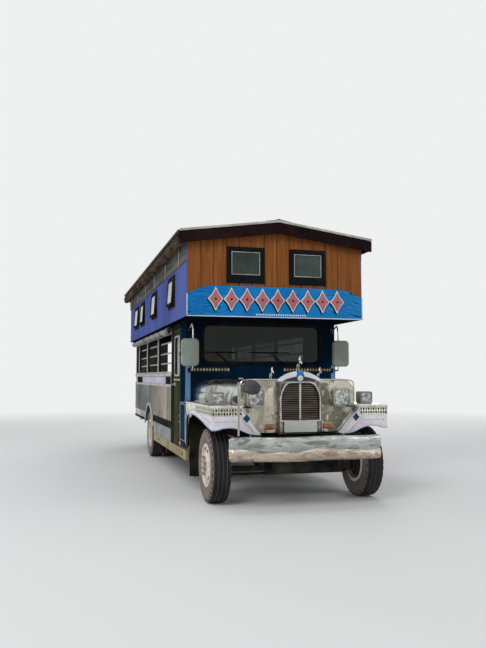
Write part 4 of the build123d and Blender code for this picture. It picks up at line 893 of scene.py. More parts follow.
def front_wheel(side, name):
    x = side * FRONT_WHEEL_X
    body = "front_wheel_" + name
    bm = bmesh.new()
    tyre_shape(bm, x, 0, side)
    piece("tread_" + name, bm, body, "tyre", "tyre_rubber", stands_for=("front_tyre_" + name,))
    bm = bmesh.new()
    barrel(bm, x, 0, side)
    disc_and_hub(bm, x, 0, side, [(0.056, 0.2035), (0.066, 0.200), (0.072, 0.193), (0.086, 0.178),
                                  (0.097, 0.160), (0.106, 0.140), (0.110, 0.126), (0.109, 0.105),
                                  (0.109, 0.062)], [(0.112, 0.070), (0.118, 0.067), (0.120, 0.058),
                                                    (0.128, 0.054), (0.134, 0.046), (0.138, 0.036),
                                                    (0.141, 0.018), (0.142, 0.0)],
                 [(-0.082, 0.0), (-0.082, 0.160), (-0.075, 0.166), (0.005, 0.166), (0.012, 0.160),
                  (0.012, 0.0)], (0.112, 0.096))
    piece("disc_" + name, bm, body, "cream_rim", "cream_wheel", "nut_steel", "dark_frame",
          stands_for=("front_rim_" + name,))


def rear_wheel(side, name):
    body = "rear_wheels_" + name
    bm = bmesh.new()
    for x in TWIN_X:
        tyre_shape(bm, side * x, REAR_Y, side)
    piece("twin_tread_" + name, bm, body, "tyre", "tyre_rubber", stands_for=("rear_tyres_" + name,))
    bm = bmesh.new()
    for x in TWIN_X:
        barrel(bm, side * x, REAR_Y, side)
    disc_and_hub(bm, side * TWIN_X[0], REAR_Y, side, [(-0.058, 0.2035), (-0.068, 0.200), (-0.076, 0.192),
                                                      (-0.088, 0.175), (-0.098, 0.155), (-0.104, 0.138),
                                                      (-0.106, 0.090)],
                 [(-0.104, 0.092), (-0.060, 0.090), (-0.045, 0.084), (-0.028, 0.074), (-0.024, 0.060),
                  (-0.023, 0.0)], [(-0.320, 0.0), (-0.320, 0.160), (-0.165, 0.164), (-0.140, 0.150),
                                   (-0.110, 0.120), (-0.110, 0.0)], (-0.100, 0.118))
    piece("twin_disc_" + name, bm, body, "cream_rim", "cream_wheel", "nut_steel", "dark_frame",
          stands_for=("rear_rims_" + name,))


# Bumper

BUMPER_HALF = 0.85
BUMPER_BOW = 0.075          # how far its ends lie behind its middle
BUMPER_Y = -0.68
CREASE_Z = 0.600


def bow(x):
    """How far the bumper's plan falls back at x."""
    radius = (BUMPER_HALF ** 2 + BUMPER_BOW ** 2) / (2 * BUMPER_BOW)
    return radius - math.sqrt(radius ** 2 - x * x)


def front_bumper():
    """Deep pressed bumper: bowed, dented, with a crease along it and a worn lower half."""
    bm = bmesh.new()
    box(bm, (-BUMPER_HALF, BUMPER_Y, 0.49), (BUMPER_HALF, BUMPER_Y + 0.095, 0.745), 0.036, 0, 5)
    for step in range(1, 68):
        slice_at(bm, at(-BUMPER_HALF + 0.025 * step, 0, 0), (1, 0, 0))
    for height in (0.545, 0.570, 0.586, 0.593, CREASE_Z, 0.608, 0.625, 0.655, 0.69, 0.715):
        slice_at(bm, (0, 0, height), (0, 0, 1))
    # The thin band just under the crease takes the bright nose_patch finish: a painted highlight along the
    # fold.
    for face in bm.faces:
        level = face.calc_center_median().z
        face.material_index = 1 if level < 0.586 else (2 if level < CREASE_Z else 0)
    for vert in bm.verts:
        x, z = vert.co.x, vert.co.z
        front = vert.co.y < AXLE_Y + BUMPER_Y + 0.05
        dent = noise.noise(Vector((x * 4.5, 3.1, z * 7))) * 0.012 + noise.noise(Vector((x * 14, 8.4,
                                                                                        z * 16))) * 0.005
        crease = 0.018 * math.exp(-((z - 0.603) / 0.010) ** 2) * (0.6 + abs(math.sin(x * 9.1)))
        vert.co.y += bow(x) + (abs(dent) + crease if front else 0.0)
        wave = 0.016 * math.sin(x * 6.3 + 0.6) + 0.007 * math.sin(x * 15)
        vert.co.z += 0.004 * math.sin(x * 7.0) + wave * max(0.0, 1 - abs(z - CREASE_Z) / 0.1)
    piece("front_bumper_dented", bm, "vehicle", "bumper_steel", "bare_steel", "worn_steel", "nose_patch",
          stands_for=("front_bumper",))


# Lamps

def framed_lamp(bm, x, z, half_wide, half_high, face_y, depth, bend, rim=0.018):
    """Square lamp: housing with a stepped bezel, and a bulged lens before its bowl."""
    outline = oblong((x - half_wide, x + half_wide), (z - half_high, z + half_high))
    own = flat_face("y", face_y + depth, outline, bend, 5)
    push(own, (0, -depth, 0))
    front = min(own.faces, key=lambda face: face.calc_center_median().y)
    soften(own, front.edges[:], 0.006)
    front = min(own.faces, key=lambda face: (round(face.calc_center_median().y, 5), -face.calc_area()))
    bmesh.ops.inset_region(own, faces=[front], thickness=rim * 0.55, depth=0.0)
    bmesh.ops.inset_region(own, faces=[front], thickness=rim * 0.25, depth=-0.010)
    bmesh.ops.inset_region(own, faces=[front], thickness=rim * 0.2, depth=0.003)
    front.material_index = 2
    pour(bm, own, None)

    def bulged(across, up):
        u, v = 2 * across - 1, 2 * up - 1
        bulge = 0.014 * (1 - u * u) * (1 - v * v)
        squeeze = 1 - 0.06 * u * u * v * v
        return at(x + u * (half_wide - rim) * squeeze, face_y + 0.008 - bulge,
                  z + v * (half_high - rim) * squeeze)

    pour(bm, sheet(14, 14, bulged), 2)


def lamps():
    bm = bmesh.new()
    framed_lamp(bm, 0.5, 1.1425, 0.105, 0.1025, -0.348, 0.048, 0.03, 0.022)
    both_sides(bm)
    piece("headlamps_square", bm, "vehicle", "chrome", "lamp_rim", "chrome_plate", "clear_lens",
          stands_for=("headlamps",))
    bm = bmesh.new()
    framed_lamp(bm, 0.88, 1.132, 0.075, 0.068, -0.165, 0.13, 0.02, 0.014)
    box(bm, (0.862, -0.13, 1.058), (0.898, -0.07, 1.07), 0.004, 1)
    both_sides(bm)
    piece("box_lamps", bm, "vehicle", "chrome", "lamp_grey", "chrome_plate", "clear_lens")
    bm = bmesh.new()
    for x in (-0.337, 0.337):
        box(bm, (x - 0.055, -0.304, 0.796), (x + 0.055, -0.299, 0.864), 0.002, 1)
        box(bm, (x - 0.052, -0.326, 0.800), (x + 0.052, -0.304, 0.860), 0.010, 0, 3)
        for screw_x in (x - 0.045, x + 0.045):
            rod(bm, (screw_x, -0.329, 0.83), (screw_x, -0.324, 0.83), 0.004, 1, 8)
    for side in (-1, 1):
        rod(bm, (side, 1.43, 0.51), (side * 1.006, 1.43, 0.51), 0.034, 1, 20)
        turned(bm, [(0.004, 0.030), (0.016, 0.028), (0.022, 0.018), (0.024, 0.0)], (side, 1.43, 0.51),
               (side, 0, 0), 20)
    piece("amber_lamps", bm, "vehicle", "amber_lens", "amber_lens", "chrome_plate",
          stands_for=("marker_lamps",))


# Nose

SHELL = 0.25                # half width of the grille's surround
SHELL_Y = -0.37             # its front face
CROWN_LOW = 1.33            # height where its crown starts
CROWN_RISE = 0.1
CROWN_PAINT_Z = 1.318       # the crown is white from here up
STRIPE_HALF = 0.040
GRILLE_LOW = 0.90
GRILLE_TOP = 1.30
GRILLE_BEND = 1.175         # where its sides start to slope in
GRILLE_HALF = 0.22
GRILLE_TOP_HALF = 0.15


def rounded_loop(own, y, outline, bend, segments, least_z=0.0):
    """Edge loop across the vehicle, with its corners above a height rounded."""
    verts = [own.verts.new(at(x, y, z)) for x, z in outline]
    own.faces.new(verts)
    soften(own, [vert for vert in verts if vert.co.z > least_z], bend, segments, "VERTICES")
    face = max(own.faces, key=lambda item: item.calc_area())
    edges = face.edges[:]
    bmesh.ops.delete(own, geom=[face], context="FACES_ONLY")
    return edges


def opening_loop(own, y, grow):
    """Edge loop round the grille's opening, grown by a margin."""
    half, top = GRILLE_HALF + grow, GRILLE_TOP_HALF + grow
    rows = ((-half, GRILLE_LOW - grow), (half, GRILLE_LOW - grow), (half, GRILLE_BEND),
            (top, GRILLE_TOP + grow), (-top, GRILLE_TOP + grow), (-half, GRILLE_BEND))
    return rounded_loop(own, y, rows, 0.055, 6, 1.0)


def pushed_ring(own, outer, inner, depth):
    """Ring between two loops, pushed back by a depth."""
    bmesh.ops.bridge_loops(own, edges=outer + inner)
    push(own, (0, depth, 0))


def grille_surround():
    """Surround of the grille with rounded edges, a white arched crown, its blue stripe and a bare disc."""
    bm = bmesh.new()
    own = bmesh.new()
    reach = (SHELL ** 2 + CROWN_RISE ** 2) / (2 * CROWN_RISE)
    first = own.verts.new(at(SHELL, SHELL_Y, CROWN_LOW))
    bmesh.ops.spin(own, geom=[first], cent=at(0, SHELL_Y, CROWN_LOW + CROWN_RISE - reach), axis=(0, 1, 0),
                   angle=-2 * math.asin(SHELL / reach), steps=18)
    last = min(own.verts, key=lambda vert: vert.co.x)
    feet = [own.verts.new(at(-SHELL, SHELL_Y, 0.75)), own.verts.new(at(SHELL, SHELL_Y, 0.75))]
    for ends in ((last, feet[0]), feet, (feet[1], first)):
        own.edges.new(ends)
    outer = own.edges[:]
    inner = opening_loop(own, SHELL_Y, 0.0)
    pushed_ring(own, outer, inner, 0.069)
    rims = [edge for edge in sharp_edges(own)
            if all(vert.co.y < AXLE_Y + SHELL_Y + 0.001 for vert in edge.verts)]
    soften(own, rims, 0.016, 4)
    slice_at(own, (0, 0, CROWN_PAINT_Z), (0, 0, 1))
    for x in (-STRIPE_HALF, STRIPE_HALF):
        slice_at(own, (x, 0, 0), (1, 0, 0))
    for face in own.faces:
        middle = face.calc_center_median()
        face.material_index = 0 if middle.z < CROWN_PAINT_Z else (2 if abs(middle.x) < STRIPE_HALF else 1)
    pour(bm, own, None)
    own = bmesh.new()
    pushed_ring(own, opening_loop(own, SHELL_Y - 0.007, 0.016), opening_loop(own, SHELL_Y - 0.007, 0.001),
                0.012)
    soften(own, sharp_edges(own), 0.003)
    pour(bm, own, 3)
    plate(bm, "y", SHELL_Y - 0.0004, [(-0.205, 1.319), (-0.16, 1.343), (-0.08, 1.366), (0.0, 1.374),
                                      (0.08, 1.366), (0.16, 1.343), (0.205, 1.319)], -0.002, mat=5)
    plate(bm, "y", SHELL_Y - 0.0024, oblong((-0.044, 0.044), (1.319, 1.385)), -0.002, mat=6)
    turned(bm, [(-0.004, 0.032), (0.005, 0.032), (0.009, 0.028), (0.012, 0.012), (0.013, 0.0)],
           (0, SHELL_Y, 1.352), (0, -1, 0), 28, 4)
    horse(bm, 0.0, -0.335, 1.426, 0.186, 3)
    piece("grille_surround", bm, "vehicle", "chrome", "aged_chrome", "crown_white", "stripe_blue",
          "chrome_plate", "plate_white", "grille_dark", "diamond_blue", stands_for=("grille_shell",))


# Horse's joints: back, up and across as shares of its height, and its thickness there
HORSE = {"rump": (0.17, 0.36, 0, 0.088), "back": (0.05, 0.47, 0, 0.072), "chest": (-0.07, 0.59, 0, 0.088),
         "neck": (-0.09, 0.76, 0, 0.055), "poll": (-0.12, 0.91, 0, 0.044), "muzzle": (-0.28, 0.83, 0, 0.026),
         "hip_r": (0.20, 0.26, -0.07, 0.058), "hock_r": (0.27, 0.15, -0.07, 0.028),
         "hoof_r": (0.17, 0.03, -0.07, 0.030), "hip_l": (0.20, 0.26, 0.07, 0.058),
         "hock_l": (0.27, 0.15, 0.07, 0.028), "hoof_l": (0.17, 0.03, 0.07, 0.030),
         "knee_r": (-0.27, 0.60, -0.07, 0.030), "fore_r": (-0.33, 0.47, -0.07, 0.024),
         "knee_l": (-0.25, 0.54, 0.07, 0.030), "fore_l": (-0.32, 0.41, 0.07, 0.024),
         "dock": (0.27, 0.40, 0, 0.030), "tail": (0.36, 0.27, 0, 0.036), "tip": (0.38, 0.10, 0, 0.018)}
HORSE_BONES = (("rump", "back"), ("back", "chest"), ("chest", "neck"), ("neck", "poll"), ("poll", "muzzle"),
               ("rump", "hip_r"), ("hip_r", "hock_r"), ("hock_r", "hoof_r"), ("rump", "hip_l"),
               ("hip_l", "hock_l"), ("hock_l", "hoof_l"), ("chest", "knee_r"), ("knee_r", "fore_r"),
               ("chest", "knee_l"), ("knee_l", "fore_l"), ("rump", "dock"), ("dock", "tail"), ("tail", "tip"))


def horse(bm, x, y, z, height, mat=0):
    """Small rearing horse cast in metal on a low base: joints given flesh by the skin modifier."""
    own = bmesh.new()
    flesh = own.verts.layers.skin.verify()
    made = {}
    for name, (back, up, across, thick) in HORSE.items():
        vert = own.verts.new(at(x + across * height * 0.8, y + back * height,
                                z + (0.03 + up * 0.97) * height))
        vert[flesh].radius = (thick * height, thick * height)
        vert[flesh].use_root = name == "rump"
        made[name] = vert
    for first, second in HORSE_BONES:
        own.edges.new((made[first], made[second]))
    bones = bpy.data.meshes.new("horse")
    own.to_mesh(bones)
    own.free()
    pour(bm, finished(bones, ("SKIN", "use_smooth_shade", True), ("SUBSURF", "levels", 2)), mat)
    bpy.data.meshes.remove(bones)
    box(bm, (x - 0.12 * height, y - 0.22 * height, z - 0.004),
        (x + 0.12 * height, y + 0.30 * height, z + 0.05 * height), 0.010 * height / 0.15, mat)


def hood_horses():
    bm = bmesh.new()
    for x in (-0.28, 0.28):
        horse(bm, x, -0.215, 1.34, 0.150)
    piece("hood_horses", bm, "hood", "chrome", "chrome_plate", stands_for=("hood_figures",))


def grille_bars():
    """Thin pressed bars with a bright upright in the middle, before a dark mesh."""
    bm = bmesh.new()
    slope = (GRILLE_HALF - GRILLE_TOP_HALF) / (GRILLE_TOP - GRILLE_BEND)
    for row in range(20):
        z = GRILLE_LOW + 0.01 + row * 0.02
        half = GRILLE_HALF - 0.0005 - slope * max(0.0, z - GRILLE_BEND)
        box(bm, (-half, -0.354, z - 0.0045), (half, -0.336, z + 0.0045), 0.003)
    box(bm, (-0.011, -0.361, GRILLE_LOW), (0.011, -0.335, GRILLE_TOP), 0.004, 1)
    for x in (-0.11, 0.11):
        box(bm, (x - 0.003, -0.338, GRILLE_LOW), (x + 0.003, -0.332, 1.29), 0.001, 2)
    box(bm, (-0.219, -0.3345, 0.901), (0.219, -0.3315, 1.17), 0.0, 2)
    box(bm, (-0.165, -0.3345, 1.17), (0.165, -0.3315, 1.285), 0.0, 2)
    piece("grille_slats", bm, "vehicle", "chrome", "slat_steel", "chrome_plate", "dark_frame",
          stands_for=("grille_bars",))


def screws(bm, axis, along, places, way, radius=0.005, mat=0):
    """Small domed screw heads."""
    for first, second in places:
        head = (along, first, second) if axis == "x" else (first, along, second)
        turned(bm, [(0.0, radius), (0.0016, radius * 0.8), (0.0024, 0.0)], head, way, 8, mat)


def lozenge(x, z, half_wide, half_high):
    """Outline of a lozenge."""
    return [(x, z - half_high), (x + half_wide, z), (x, z + half_high), (x - half_wide, z)]


def nose_trim():
    """Beads and patch plates of the nose, its blank plate, and the diamonds on the fenders' fronts."""
    bm = bmesh.new()
    half = ((0.66, 1.10), (0.66, 1.24), (0.655, 1.325), (0.56, 1.337), (0.45, 1.337))
    bent_rod(bm, [(-x, -0.303, z) for x, z in half] + [(x, -0.303, z) for x, z in half[::-1]], 0.009)
    for side in (-1, 1):
        bent_rod(bm, [(side * 0.660, -0.302, 1.01), (side * 0.60, -0.302, 0.935),
                      (side * 0.46, -0.302, 0.775)], 0.006, 0, 2, False)
        plate(bm, "y", -0.300, [(side * 0.27, 0.955), (side * 0.385, 0.945), (side * 0.392, 1.015),
                                (side * 0.352, 1.235), (side * 0.272, 1.262)], -0.0025, 0.006, 0.001,
              1 if side < 0 else 2)
        places = [(side * 0.285, 0.97 + 0.07 * step) for step in range(4)] + [(side * 0.375, 0.96),
                                                                              (side * 0.352, 1.20)]
        screws(bm, "y", -0.3025, places, (0, -1, 0), 0.004)
    piece("nose_beads", bm, "vehicle", "stainless", "chrome_plate", "nose_patch", "patch_dark")
    bm = bmesh.new()
    plate(bm, "y", -0.374, oblong((-0.198, 0.198), (0.762, 0.900)), -0.002, 0.012, 0.0006)
    plate(bm, "y", -0.376, oblong((-0.190, 0.190), (0.770, 0.892)), -0.0006, 0.010, 0, 1)
    screws(bm, "y", -0.3766, [(-0.14, 0.885), (0.14, 0.885)], (0, -1, 0), 0.006, 2)
    for x in (-0.14, 0.14):
        box(bm, (x - 0.012, -0.3735, 0.78), (x + 0.012, -0.368, 0.89), 0.001, 2)
    piece("front_plate_blank", bm, "vehicle", "white_paint", "sign_shadow", "plate_white", "nut_steel")
    bm = bmesh.new()
    for side in (-1, 1):
        x, y, z = side * 0.625, -0.4305, 0.929
        plate(bm, "y", y, lozenge(x, z, 0.050, 0.056), -0.003, 0.004, 0.001, 1)
        plate(bm, "y", y - 0.003, lozenge(x, z, 0.040, 0.045), -0.002, 0.003, 0.001)
    piece("blue_diamonds", bm, "vehicle", "blue_paint", "diamond_blue", "chrome_plate")


def cell_band(bm, axis, along, first, second, columns, outward_way):
    """Band of two rows of pressed cells."""
    own = sheet(columns, 2, lambda u, v: spot(axis, along, (between(first, u), between(second, v))))
    faced(own, outward_way)
    cells = own.faces[:]
    for face in cells:
        face.material_index = 1
    made = bmesh.ops.inset_individual(own, faces=cells, thickness=0.0055, depth=-0.0025, use_even_offset=True)
    for face in made["faces"]:
        face.material_index = 1
    for place, face in enumerate(cells):
        face.material_index = 2 + place % 2
    pour(bm, own, None)


def fender_trim():
    """Shelf sheet, pressed bands, creases and bright edge trim of both front fenders."""
    bm = bmesh.new()
    # shelf with a rolled front and outer edge
    plate(bm, "z", 1.0602, [(0.668, -0.434), (1.004, -0.434), (1.004, 1.058), (0.672, -0.285)], 0.004, 0.0,
          0.002)
    box(bm, (0.668, -0.440, 1.036), (1.006, -0.4302, 1.064), 0.004, 0, 3)
    box(bm, (FENDER_X, -0.440, 1.036), (1.010, 1.058, 1.064), 0.004, 0, 3)
    box(bm, (0.668, -0.4318, 0.952), (1.004, -0.4302, 1.036), 0.0, 1)
    cell_band(bm, "y", -0.4355, (0.672, 1.000), (0.957, 1.033), 11, (0, -1, 0))
    box(bm, (FENDER_X, -0.434, 0.952), (1.0018, 0.40, 1.036), 0.0, 1)
    cell_band(bm, "x", 1.0055, (-0.430, 0.395), (0.957, 1.033), 26, (1, 0, 0))
    plate(bm, "x", FENDER_X, [(0.40, 1.036), (1.055, 1.036), (1.055, 0.915), (0.945, 0.900), (0.82, 0.955),
                              (0.40, 0.985)], 0.0045, 0.004, 0.001, 1)
    plate(bm, "x", FENDER_X, oblong((0.9335, 1.055), (0.528, 0.912)), 0.0040, 0.0, 0.001, 5)
    box(bm, (FENDER_X, 1.034, 0.528), (1.0085, 1.056, 0.915), 0.002, 4)
    # crease from the nose down to the front lip
    bent_rod(bm, [(0.700, -0.431, 0.950), (0.640, -0.434, 0.885), (0.585, -0.434, 0.835),
                  (0.535, -0.431, 0.775)], 0.007)
    lip = ((0.470, 0.754), (0.535, 0.754), (0.60, 0.768), (0.66, 0.795), (0.72, 0.822), (0.80, 0.836),
           (0.88, 0.830), (0.95, 0.806), (1.0, 0.809))
    bent_rod(bm, [(x, -0.431, z) for x, z in lip], 0.006, 4)
    arch = [(1.0, -0.431, 0.809), (1.001, -0.22, 0.832), (1.001, 0.02, 0.872), (1.001, 0.246, 0.903),
            (1.001, 0.449, 0.921), (1.001, 0.625, 0.929), (1.002, 0.772, 0.926), (1.003, 0.880, 0.916),
            (1.004, 0.960, 0.896), (1.004, 1.015, 0.860), (1.004, 1.040, 0.800), (1.004, 1.045, 0.70),
            (1.004, 1.045, 0.535)]
    bent_rod(bm, arch, 0.007, 4)
    both_sides(bm)
    piece("fender_trim", bm, "vehicle", "chrome", "fender_shelf", "fender_shelf", "band_dark", "band_gold",
          "edge_trim", "dark_frame")
    # faint petals on the white skirt
    bm = bmesh.new()
    petal = ((-0.011, 0), (-0.004, 0.0045), (0.006, 0.0045), (0.011, 0), (0.006, -0.0045), (-0.004, -0.0045))
    for place in range(24):
        turn = math.radians(50 if place % 2 else -50)
        turned_petal = [(u * math.cos(turn) - v * math.sin(turn), u * math.sin(turn) + v * math.cos(turn))
                        for u, v in petal]
        if place < 9:
            x, z = 0.715 + place * 0.030, 0.895
            plate(bm, "y", -0.4303, [(x + u, z + v) for u, v in turned_petal], -0.0006)
        else:
            y, z = -0.38 + (place - 9) * 0.040, 0.886 + 0.004 * (place - 9)
            plate(bm, "x", SIDE_X, [(y + u, z + v) for u, v in turned_petal], 0.0006)
    both_sides(bm)
    piece("fender_curls", bm, "vehicle", "white_paint", "curl_rose")


# Cab

def cab_front_trim():
    """Rubber round the windscreen, wipers, strips with plain lozenges and the light-blue corner strips."""
    bm = bmesh.new()
    own = bmesh.new()
    loops = []
    for grow in (0.030, -0.012):
        outline = oblong((-0.785 - grow, 0.785 + grow), (1.55 - grow, 2.03 + grow))
        loops.append(rounded_loop(own, 1.0605, outline, 0.08 + grow, 8))
    pushed_ring(own, *loops, -0.014)
    soften(own, [edge for edge in sharp_edges(own) if edge.verts[0].co.y < AXLE_Y + 1.055], 0.006, 3)
    pour(bm, own)
    for x in (-0.42, 0.30):
        rod(bm, (x, 1.062, 1.515), (x, 1.030, 1.515), 0.014, 0, 14)
        bent_rod(bm, [(x, 1.034, 1.515), (x - 0.05, 1.030, 1.56), (x - 0.16, 1.034, 1.65),
                      (x - 0.20, 1.040, 1.68)], 0.006)
        box(bm, (x - 0.48, 1.040, 1.672), (x + 0.06, 1.047, 1.688), 0.003)
    piece("screen_rubber", bm, "vehicle", "black_rubber", "rubber")
    bm = bmesh.new()
    for start, stop, count in ((-0.955, -0.44, 13), (0.28, 0.955, 17)):
        box(bm, (start, 1.0565, 1.432), (stop, 1.0608, 1.488), 0.001)
        step = (stop - start) / count
        for place in range(count):
            x = start + (place + 0.5) * step
            plate(bm, "y", 1.0565, lozenge(x, 1.460, step * 0.40, 0.020), -0.0025, 0, 0.0008,
                  1 if place % 4 else 2)
    piece("screen_lozenges", bm, "vehicle", "cream_paint", "band_dark", "cream_rail", "plate_white")
    bm = bmesh.new()
    plate(bm, "y", 1.0608, oblong((0.948, 1.000), (1.070, 1.520)), -0.004, 0, 0.001)
    bent_rod(bm, [(1.002, 1.062, 1.52), (1.003, 1.066, 1.30), (1.003, 1.070, 1.12), (1.003, 1.105, 1.055),
                  (1.003, 1.20, 1.040), (1.003, 1.47, 1.040)], 0.008)
    bent_rod(bm, [(1.001, 1.115, 1.02), (1.001, 1.115, 0.56), (1.001, 1.47, 0.56), (1.001, 1.47, 1.02),
                  (1.001, 1.115, 1.02)], 0.006, 1, 2, False)
    plate(bm, "x", FENDER_X, oblong((1.125, 1.46), (0.57, 1.01)), 0.004, 0.02, 0.001, 2)
    box(bm, (0.985, 1.058, 0.70), (1.003, 1.075, 1.06), 0.003, 3)
    both_sides(bm)
    piece("cab_corner_trim", bm, "vehicle", "blue_paint", "light_blue", "pale_frame", "teal_navy",
          "dark_post_and_shadow")


def roof_z(x):
    return RIDGE_Z - (RIDGE_Z - EAVES_Z) * abs(x) / EAVES


def roof_sheets():
    """Two corrugated sheets with a folded ridge cap and pale end flashings."""
    def rippled(u, v):
        across = 0.004 + (EAVES + 0.012) * u
        along = 0.36 + 6.80 * v
        return at(across, along, roof_z(across) + 0.001 + 0.007 * math.sin(along * math.tau / 0.076))

    bm = bmesh.new()
    own = sheet(3, 720, rippled)
    faced(own, (0, 0, 1))
    thicken(own, 0.004)
    pour(bm, own)
    both_sides(bm)
    cap = [(-0.16, roof_z(0.16) + 0.010), (-0.05, roof_z(0.05) + 0.012), (0, RIDGE_Z + 0.022),
           (0.05, roof_z(0.05) + 0.012), (0.16, roof_z(0.16) + 0.010), (0.16, roof_z(0.16) + 0.006),
           (0, RIDGE_Z + 0.016), (-0.16, roof_z(0.16) + 0.006)]
    plate(bm, "y", 0.345, cap, 6.83, mat=1)
    for place in range(24):
        for x in (-0.13, 0.13):
            y, z = 0.5 + place * 0.285, roof_z(x)
            rod(bm, (x, y, z + 0.008), (x, y, z + 0.018), 0.009, 1, 6, 0.005)
    for y in (0.336, 7.168):
        for side in (-1, 1):
            outline = [(0, RIDGE_Z + 0.004), (side * EAVES, EAVES_Z + 0.004), (side * EAVES, EAVES_Z - 0.022),
                       (0, RIDGE_Z - 0.022)]
            plate(bm, "y", y, outline, 0.014, mat=2)
    piece("roof_corrugated", bm, "vehicle", "roof_sheet", "zinc_sheet", "zinc_sheet", "pale_edge",
          stands_for=("roof",))


def fascia_boards():
    """End boards with a scalloped lower edge, and rolled side boards."""
    def scalloped(u, v):
        across = EAVES * u
        rise = 0.011 * (1 - abs(math.sin(across * math.pi / 0.033))) if v < 0.1 else 0.0
        return at(across, 0.350, roof_z(across) - 0.161 + v * 0.135 + rise)

    def rolled(side, share, along):
        y = 0.375 + 6.77 * along
        turn = math.radians(100 - 205 * share)
        out = EAVES - 0.050 + 0.058 * max(-0.4, math.cos(turn))
        sag = 0.005 * noise.noise(Vector((side * 3, y * 1.4, share * 3)))
        return at(side * (out + sag), y, 2.998 + 0.066 * math.sin(turn) + sag)

    bm = bmesh.new()
    for back in (0.0, 6.798):
        own = sheet(150, 2, scalloped)
        push(own, (0, 0.022, 0))
        bmesh.ops.translate(own, vec=(0, back, 0), verts=own.verts[:])
        pour(bm, own)
    both_sides(bm)
    for side in (-1, 1):
        own = sheet(12, 90, lambda share, along: rolled(side, share, along))
        outward(own)
        thicken(own, 0.006)
        pour(bm, own, 1)
    piece("fascia_boards", bm, "vehicle", "brown_paint", "fascia_brown", "mottled_brown",
          stands_for=("fascia",))


# Loft

BOARD = 0.160               # about how wide a board is
FRONT_PANES = ((-0.62, -0.17), (0.17, 0.62))


def board_spans(start, end, y, thick, low, holes):
    """Upright boards across an end wall, cut round its openings and along the roof's slope."""
    bm = bmesh.new()
    count = round((end - start) / BOARD)
    wide = (end - start) / count
    for place in range(count):
        left = start + place * wide + 0.003
        right = left + wide - 0.006
        cuts = sorted({left, right} | {edge for hole in holes for edge in hole[:2] if left < edge < right})
        for x0, x1 in zip(cuts, cuts[1:]):
            middle = (x0 + x1) / 2
            levels = [(low, RIDGE_Z)]
            for hole in holes:
                if hole[0] < middle < hole[1]:
                    levels = [(low, hole[2]), (hole[3], RIDGE_Z)] if hole[2] > low else [(hole[3], RIDGE_Z)]
            for z0, z1 in levels:
                own = block(at(x0, y, z0), at(x1, y + thick, z1))
                for side in (-1, 1):
                    slope = Vector((side * (RIDGE_Z - EAVES_Z), 0, EAVES)).normalized()
                    cut = slice_at(own, (0, 0, RIDGE_Z - 0.030), slope, True)
                    rim = [item for item in cut["geom_cut"] if isinstance(item, bmesh.types.BMEdge)]
                    if rim:
                        bmesh.ops.edgenet_fill(own, edges=rim)
                uprights = [edge for edge in own.edges
                            if abs((edge.verts[0].co - edge.verts[1].co).normalized().z) > 0.99]
                soften(own, uprights, 0.003, 1)
                pour(bm, own)
    return bm


def gable_boards():
    """Boards of the loft's two ends, and of its rear door."""
    holes = [(left, right, 2.56, 2.92) for left, right in FRONT_PANES]
    bm = board_spans(-1.113, 1.113, 0.443, 0.013, 2.33, holes)
    piece("gable_boards_front", bm, "vehicle", "wood", "varnished_wood")
    bm = board_spans(-1.113, 1.113, 6.849, 0.012, 2.11, [(-0.352, 0.352, 2.0, 2.952)])
    piece("gable_boards_rear", bm, "vehicle", "wood", "varnished_wood")
    bm = board_spans(-0.340, 0.340, 6.850, 0.012, 2.12, [])
    slice_at(bm, (0, 0, 2.94), (0, 0, 1), True)
    piece("loft_door_boards", bm, "loft_door", "wood", "varnished_wood")


def ribbed(bm, where, span, low, high, pitch, rib, mat=0):
    """Sheet folded into upright ribs. where gives a point from the run, the way out and the height."""
    rows = {span[0]: 0.0, span[1]: 0.0}
    for place in range(math.ceil((span[0] + 0.02) / pitch), int((span[1] - 0.02) / pitch) + 1):
        for off, out in ((-0.018, 0), (-0.011, rib), (0.011, rib), (0.018, 0), (pitch * 0.35, 0),
                         (pitch * 0.5, 0)):
            if span[0] < place * pitch + off < span[1]:
                rows[place * pitch + off] = out
    own = bmesh.new()
    runs = sorted(rows)
    verts = [own.verts.new(where(run, rows[run], high)) for run in runs]
    edges = [own.edges.new(pair) for pair in zip(verts, verts[1:])]
    foot = moved_verts(bmesh.ops.extrude_edge_only(own, edges=edges))
    for vert, run in zip(sorted(foot, key=lambda item: (item.co - verts[0].co).xy.length), runs):
        vert.co.z = low(run) if callable(low) else low
    faced(own, where(0, 1, 0) - where(0, 0, 0))
    thicken(own, 0.0012)
    pour(bm, own, mat)


def beside(x):
    """Places points on the side at x from their run back, way out and height."""
    return lambda run, out, z: at(x + out, run, z)


# Loft sides

SIDE_PANES = ((1.280, 1.750), (2.930, 3.470), (4.450, 4.970), (5.290, 5.900))
PANE_LOW = 2.29
PANE_HIGH = 2.67
SASH_TURN = math.radians(-3.5)


